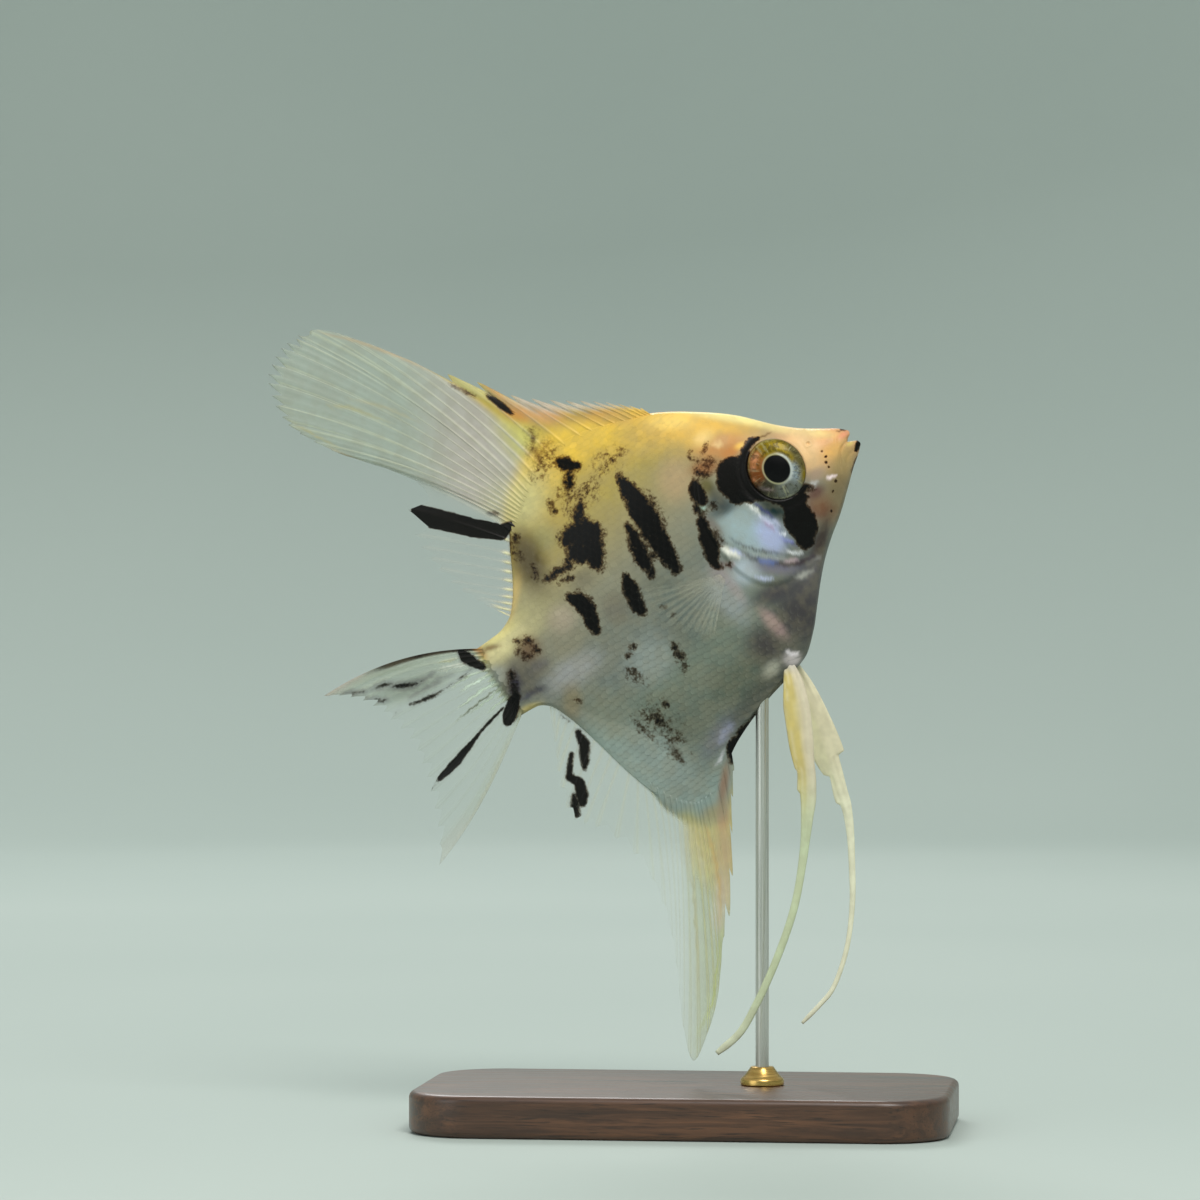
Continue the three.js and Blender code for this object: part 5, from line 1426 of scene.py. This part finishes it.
def make_caudal(material):
    points, s, away, number = fin_surface(
        CAUDAL_RAYS, CAUDAL_SPREAD, lambda r: (np.full_like(r, -0.4), r), lambda t: 0.17 - 0.33 * t,
        lambda t, s: 1.2 * s * s + 0 * t, 44,
    )
    half, ridge = ray_shape(s, away, thick=0.14)
    x, z = points[..., 0], points[..., 2]
    u, w = seen(x, 0 * x, z)
    upper = step(5.4, 3.0, number)
    edge_ray = np.maximum(hill(number, 0.6), 0.5 * hill(number - 15.6, 0.7))
    web = lerp_colour((176, 186, 160), (170, 182, 160), step(-4, -14, x))
    rays = lerp_colour((206, 214, 190), (196, 204, 180), step(-2, -7, x))
    paint = web + (rays - web) * (ridge * 0.8)[..., None]
    paint = mix(paint, rgb(206, 190, 176), 0.9 * edge_ray * step(-11, -15, x))
    clear = 0.04 + 0.22 * upper + 0.24 * edge_ray
    clear = clear + (0.42 - clear) * ridge * (0.2 + 0.3 * upper)
    # the lines, with the painted glints on the rays' bases, also make the fin opaque
    paint, cover = lined(paint, CAUDAL_LINES, u, w)
    clear = np.maximum(clear, 0.9 * cover)
    veil = oval(u, w, (-9.6, 6), (5.6, 1.7), -16)
    paint, clear = mix(paint, rgb(116, 130, 108), 0.7 * veil), np.maximum(clear, 0.4 * veil)
    rim = step(1.0, 0.4, number) * step(0.02, 0.1, s) * step(0.8, 0.6, s)  # the upper edge is dark
    paint, clear = mix(paint, rgb(46, 34, 28), rim), np.maximum(clear, 0.9 * rim)
    clear = clear + (1 - clear) * step(-1.2 - 0.8 * ridge, -0.4 - 0.5 * ridge, x)
    half = half + 0.2 * step(-1.6, 0, x)
    tail, _, _ = body_paint(x, 0 * x, z)
    paint = paint + (tail - paint) * step(-1.3, -0.3, x)[..., None]
    dark = dark_field(CAUDAL_DARK + ROOT_DARK, u, w)
    make_fin("fin_caudal", points, half, paint, dark, clear, material, "caudal_fin")


PECTORAL = {  # in millimetres and degrees
    "x": 28.2, "z": -4.6, "root": 2.2, "reach": 10.5, "spread": 62, "droop": 12, "out": 30,
    "lift": 0.25,
}


def make_pectoral(side, material):
    t = np.linspace(0, 1, 5)
    turn = np.radians((0.5 - t) * PECTORAL["spread"])
    reach = PECTORAL["reach"] * (1 - 0.35 * t**2)
    foot = (0.5 - t) * PECTORAL["root"]
    guides = np.stack([foot, -np.cos(turn) * reach, foot + np.sin(turn) * reach], -1)
    points, s, away, number = fin_surface(
        guides, PECTORAL_SPREAD, lambda r: (np.zeros_like(r), r), lambda t: 0 * t,
        lambda t, s: side * 0.8 * s * s + 0 * t, 26, notch=0.5, ragged=0.25,
    )
    half, ridge = ray_shape(s, away, thick=0.12, web=0.04)
    half = half + 0.12 * hill(s, 0.2)
    x, y, z = np.moveaxis(points, -1, 0)
    droop, out = math.radians(PECTORAL["droop"]), math.radians(side * PECTORAL["out"])
    x, z = x * math.cos(droop) - z * math.sin(droop), x * math.sin(droop) + z * math.cos(droop)
    x, y = x * math.cos(out) + y * math.sin(out), -x * math.sin(out) + y * math.cos(out)
    flank = float(thickness(np.array(PECTORAL["x"]), np.array(PECTORAL["z"]))) + PECTORAL["lift"]
    points = np.stack([x + PECTORAL["x"], y + side * flank, z + PECTORAL["z"]], -1)
    web = lerp_colour((214, 208, 182), (206, 208, 196), s)
    paint = web + (rgb(234, 228, 196) - web) * (ridge * 0.8)[..., None]
    clear = 0.015 + 0.4 * hill(s, 0.08)
    clear = clear + (0.1 - clear) * ridge * 0.7
    clear = clear * step(1.02, 0.7, s) * (0.4 + 0.6 * step(0, 1.5, number))
    name = SIDES[side]
    make_fin(
        f"fin_pectoral_{name}", points, half, paint, 0 * s, clear, material, f"pectoral_fin_{name}",
    )


# Each fin's middle line (x, y, z), its half widths along it (0 to 1), and its colours.
PELVIC = {
    "right": {
        "line": [
            [29.8, -0.6, -17], [29.1, -1.7, -19.6], [27.8, -2.4, -22.8], [26.1, -2.9, -26],
            [24.1, -3.4, -30], [21.4, -4, -33.9], [18.1, -4.5, -37.9], [14.3, -5.1, -41.8],
            [9.3, -5.4, -45.6], [4.3, -5.6, -48.7], [0.8, -5.6, -50.4], [-2.8, -5.6, -50.9],
        ],
        "front": through([
            [0, 0.5], [0.06, 1.05], [0.12, 1.2], [0.2, 1.25], [0.26, 1], [0.33, 1], [0.39, 0.72],
            [0.45, 0.54], [0.55, 0.46], [0.97, 0.44], [1, 0.3],
        ]),
        "rear": through([
            [0, 0.6], [0.06, 1.45], [0.12, 1.95], [0.2, 1.75], [0.262, 1.4], [0.27, 1.2], [0.316, 1.3],
            [0.327, 0.95], [0.39, 0.7], [0.45, 0.54], [0.55, 0.46], [0.97, 0.44], [1, 0.3],
        ]),
        "front_shade": (222, 210, 184), "rear_shade": (216, 196, 122), "thread": (204, 214, 178),
    },
    # The far fin's colours are painted lighter than the fin's own, as painted light where it lies in shade.
    "left": {
        "line": [
            [30, 0.7, -17], [29.4, 1.8, -20.6], [28.6, 2.2, -24.2], [27.5, 2.8, -28], [26, 3.7, -32.7],
            [25, 4.3, -36.2], [21.7, 5.1, -41.9], [18.9, 5.8, -45.9], [15.4, 6.1, -49.7], [11.5, 6.2, -52.5],
            [9.5, 6.2, -53.1], [6.3, 6.2, -53.8],
        ],
        "front": through([
            [0, 0.6], [0.07, 1.2], [0.15, 1.6], [0.262, 2], [0.27, 1.2], [0.32, 1.1], [0.386, 0.9],
            [0.43, 0.6], [0.5, 0.45], [0.6, 0.38], [0.75, 0.3], [0.97, 0.28], [1, 0.18],
        ]),
        "rear": through([
            [0, 0.7], [0.07, 1.3], [0.15, 1.7], [0.24, 1.9], [0.308, 1.25], [0.318, 0.6], [0.386, 0.9],
            [0.396, 0.5], [0.43, 0.5], [0.5, 0.42], [0.6, 0.36], [0.75, 0.3], [0.97, 0.28], [1, 0.18],
        ]),
        "front_shade": (248, 238, 206), "rear_shade": (238, 232, 194), "thread": (255, 252, 224),
    },
}


# Where along the fin a ray of its blade ends, with a step in its edge.
BLADE_STEPS = [0.262, 0.266, 0.27, 0.308, 0.316, 0.322, 0.327, 0.386, 0.396]


def make_pelvic(name, material):
    """A blade of a few rays that runs out into one long filament."""
    fin = PELVIC[name]
    steps, around = 190, 24
    dense = curve_at(fin["line"], np.linspace(0, 1, 1200))
    length = np.concatenate([[0], np.cumsum(np.linalg.norm(np.diff(dense, axis=0), axis=1))])
    s = np.unique(np.concatenate([np.linspace(0, 1, steps), BLADE_STEPS]))
    centre = np.stack([np.interp(s * length[-1], length, dense[:, k]) for k in range(3)], -1)
    along = np.gradient(centre, axis=0)
    along /= np.linalg.norm(along, axis=1, keepdims=True)
    wide = np.cross(along, [0.0, 1.0, 0.0])
    wide /= np.linalg.norm(wide, axis=1, keepdims=True)
    wide *= np.sign(wide[:, :1])  # towards the snout
    turn = np.arange(around) / around * 2 * np.pi
    cos, sin = np.cos(turn), np.sin(turn)
    reach = np.where(cos[None] > 0, fin["front"](s)[:, None], fin["rear"](s)[:, None]) * cos[None]
    blade = step(0.5, 0.3, s)[:, None]
    ridges = 1 + 0.35 * blade * np.cos(reach * 2 * np.pi / 0.75)
    deep = (0.3 - 0.06 * s)[:, None] * np.where(blade > 0, ridges, 1) * np.sign(sin) * np.abs(sin) ** 0.8
    points = centre[:, None] + wide[:, None] * reach[..., None] + np.array([0, 1.0, 0]) * deep[..., None]
    flat = points.reshape(-1, 3)
    ob = make_object(f"fin_pelvic_{name}", flat, tube_faces(len(s), around))
    turn_outwards(ob)
    ss = np.repeat(s[:, None], around, 1)
    colour = lerp_colour(fin["rear_shade"], fin["front_shade"], step(-0.5, 0.5, reach))
    lit = step(0.1, 0.7, np.cos(reach * 2 * np.pi / 0.6))  # the rays in the blade
    colour = mix(colour, rgb(232, 222, 190), 0.35 * lit)
    colour = mix(colour, rgb(*fin["thread"]), step(0.24, 0.44, ss))
    colour = mix(colour, rgb(206, 200, 190), step(0.04, 0.0, ss))
    colour = mix(colour, rgb(236, 236, 214), 0.5 * step(0.8, 1, ss))
    clear = 0.9 - 0.1 * step(0.1, 0.3, ss) * blade + 0.04 * step(0.4, 0.6, ss)
    dark = np.zeros(len(flat))
    give(ob, Paint=colour.reshape(-1, 3), Dark=dark, Clear=clear.ravel(), Place=flat)
    finish_piece(ob, material, "pelvic_ray", f"pelvic_fin_{name}")


# ---------- stand ----------
BASE_CORNER, BASE_EDGE = 8, 0.8  # the radii of the base's corners and of its edges
COLLAR_BORE = 0.84  # the radius of the hole for the rod


def box_mm(node):
    """A node's lowest and highest corners, in millimetres."""
    return [np.array(corner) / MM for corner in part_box(node)]


def round_rings(profile, centre, segments):
    """Rings round an upright axis, one for each radius and height of a profile."""
    turn = np.arange(segments) / segments * 2 * np.pi
    cos, sin = np.cos(turn), np.sin(turn)
    return [
        np.stack([centre[0] + r * cos, centre[1] + r * sin, np.full(segments, float(h))], -1)
        for r, h in profile
    ]


def make_stand_piece(name, rings, sharp, material, slot, node):
    """A closed solid of stacked rings, crisp where it turns by more than sharp degrees."""
    faces = tube_faces(len(rings), len(rings[0]))
    ob = make_object(name, np.concatenate(rings), faces, world=False)
    turn_outwards(ob)
    ob.data.set_sharp_from_angle(angle=math.radians(sharp))
    finish_piece(ob, material, slot, node)


def make_base(material):
    _, high = box_mm("stand_base")
    outline = []
    for side_x, side_y, start in ((1, 1, 0), (-1, 1, 90), (-1, -1, 180), (1, -1, 270)):
        x, y = side_x * (high[0] - BASE_CORNER), side_y * (high[1] - BASE_CORNER)
        for a in np.radians(np.linspace(start, start + 90, 13)):
            outline.append((x + BASE_CORNER * math.cos(a), y + BASE_CORNER * math.sin(a)))
    outline = np.array(outline)
    arc = np.radians(np.linspace(0, 90, 7))
    foot = [(BASE_EDGE * (1 - math.sin(a)), BASE_EDGE * (1 - math.cos(a))) for a in arc]
    top = [(BASE_EDGE * (1 - math.cos(a)), high[2] - BASE_EDGE * (1 - math.sin(a))) for a in arc]
    rings = [
        np.column_stack([outline * (1 - inset / high[:2]), np.full(len(outline), height)])
        for inset, height in foot + top
    ]
    make_stand_piece("stand_base_wood", rings, 40, material, "dark_wood", "stand_base")


def make_collar(material):
    low, high = box_mm("stand_collar")
    radius, tall = (high - low)[0] / 2, high[2] - low[2]
    profile = [(radius - 0.1, low[2]), (radius, low[2] + 0.1)]
    profile += [(radius, low[2] + 0.3 * tall), (radius - 0.12, low[2] + 0.38 * tall)]
    profile += [
        (radius - 0.12 - (radius - 1.5) * t**0.8, low[2] + (0.38 + 0.6 * t) * tall)
        for t in np.linspace(0.1, 1, 9)
    ]
    profile += [(1.3, high[2]), (COLLAR_BORE, high[2]), (COLLAR_BORE, low[2] + 0.5 * tall)]
    rings = round_rings(profile, (low + high) / 2, 48)
    make_stand_piece("stand_collar_brass", rings, 35, material, "brass", "stand_collar")


def make_rod(material):
    low, high = box_mm("stand_rod")
    radius = (high - low)[0] / 2
    profile = [(radius - 0.1, low[2]), (radius, low[2] + 0.1)]
    profile += [(radius, high[2] - 0.1), (radius - 0.1, high[2])]
    rings = round_rings(profile, (low + high) / 2, 40)
    make_stand_piece("stand_rod_steel", rings, 35, material, "steel", "stand_rod")


# ---------- studio ----------
LIGHT_AIM = (0.0, 0.0, 0.055)
FRAME_WIDTH = 0.144  # how much the camera sees at the fish


def make_floor():
    """A round floor that curves up all round, so that every view has the same plain backdrop."""
    radius, bend, segments = 700, 400, 96
    arc = np.radians(np.linspace(0, 90, 20))
    profile = [(r, 0) for r in (120, 300, 500)]
    profile += [(radius + bend * math.sin(a), bend * (1 - math.cos(a))) for a in arc]
    profile += [(radius + bend, 500)]
    rings = round_rings(profile, (0, 0), segments)
    faces = grid_faces(len(rings), segments, wrap=True)[:, ::-1].tolist() + [tuple(range(segments))]
    ob = make_object("floor", np.concatenate(rings), faces, world=False)
    ob.data.materials.append(floor_material())


def make_light(name, place, size, power, colour=(1, 1, 1)):
    data = bpy.data.lights.new(name, "AREA")
    data.shape, data.size, data.energy, data.color = "DISK", size, power, colour
    ob = bpy.data.objects.new(name, data)
    bpy.context.scene.collection.objects.link(ob)
    ob.location = place
    ob.rotation_euler = (Vector(LIGHT_AIM) - Vector(place)).to_track_quat("-Z", "Y").to_euler()


def make_world():
    """A soft, even light from all round."""
    world = bpy.data.worlds.new("studio")
    bpy.context.scene.world = world
    world.use_nodes = True
    background = world.node_tree.nodes["Background"]
    background.inputs["Color"].default_value = shade(226, 234, 230)
    background.inputs["Strength"].default_value = 0.6


def make_camera():
    """As the photo: level and 7 degrees to the fish's front."""
    azimuth, distance = PHOTO["turn"], PHOTO["distance"] * MM
    aim = Vector((PHOTO["aim"][0], 0, PHOTO["aim"][1])) * MM
    data = bpy.data.cameras.new("camera")
    data.sensor_width, data.lens = 36, 36 * distance / FRAME_WIDTH
    data.clip_start, data.clip_end = 0.01, 20
    ob = bpy.data.objects.new("camera", data)
    bpy.context.scene.collection.objects.link(ob)
    back_way = Vector((math.sin(azimuth), -math.cos(azimuth), 0))
    ob.location = aim + back_way * distance
    ob.rotation_euler = (-back_way).to_track_quat("-Z", "Y").to_euler()
    bpy.context.scene.camera = ob


# ---------- build ----------
make_skin(skin_material())
scales = scale_material()
for side in SIDES:
    make_scales(side, scales)
eye = eye_material()
for side in SIDES:
    make_eye(side, eye)
web = fin_material("fin web")
make_dorsal(web)
make_anal(web)
make_caudal(web)
for side in SIDES:
    make_pectoral(side, web)
blade = fin_material("pelvic fin")
for name in PELVIC:
    make_pelvic(name, blade)
make_base(wood_material())
make_collar(metal_material(
    "turned brass", shade(196, 158, 88), shade(220, 184, 112), (400.0, 400.0, 9000.0), 0.26,
))
make_rod(metal_material(
    "brushed steel", shade(196, 194, 188), shade(222, 220, 214), (9000.0, 9000.0, 60.0), 0.3,
))
make_floor()
make_light("key", (0.2, -0.5, 0.75), 0.4, 5.0, (1, 0.98, 0.95))
make_light("fill", (-0.6, -0.6, 0.3), 0.6, 1.2, (0.94, 0.97, 1))
make_light("rim", (-0.2, 0.65, 0.6), 0.4, 2.5)
make_world()
bpy.context.scene.view_settings.view_transform = "Standard"
make_camera()
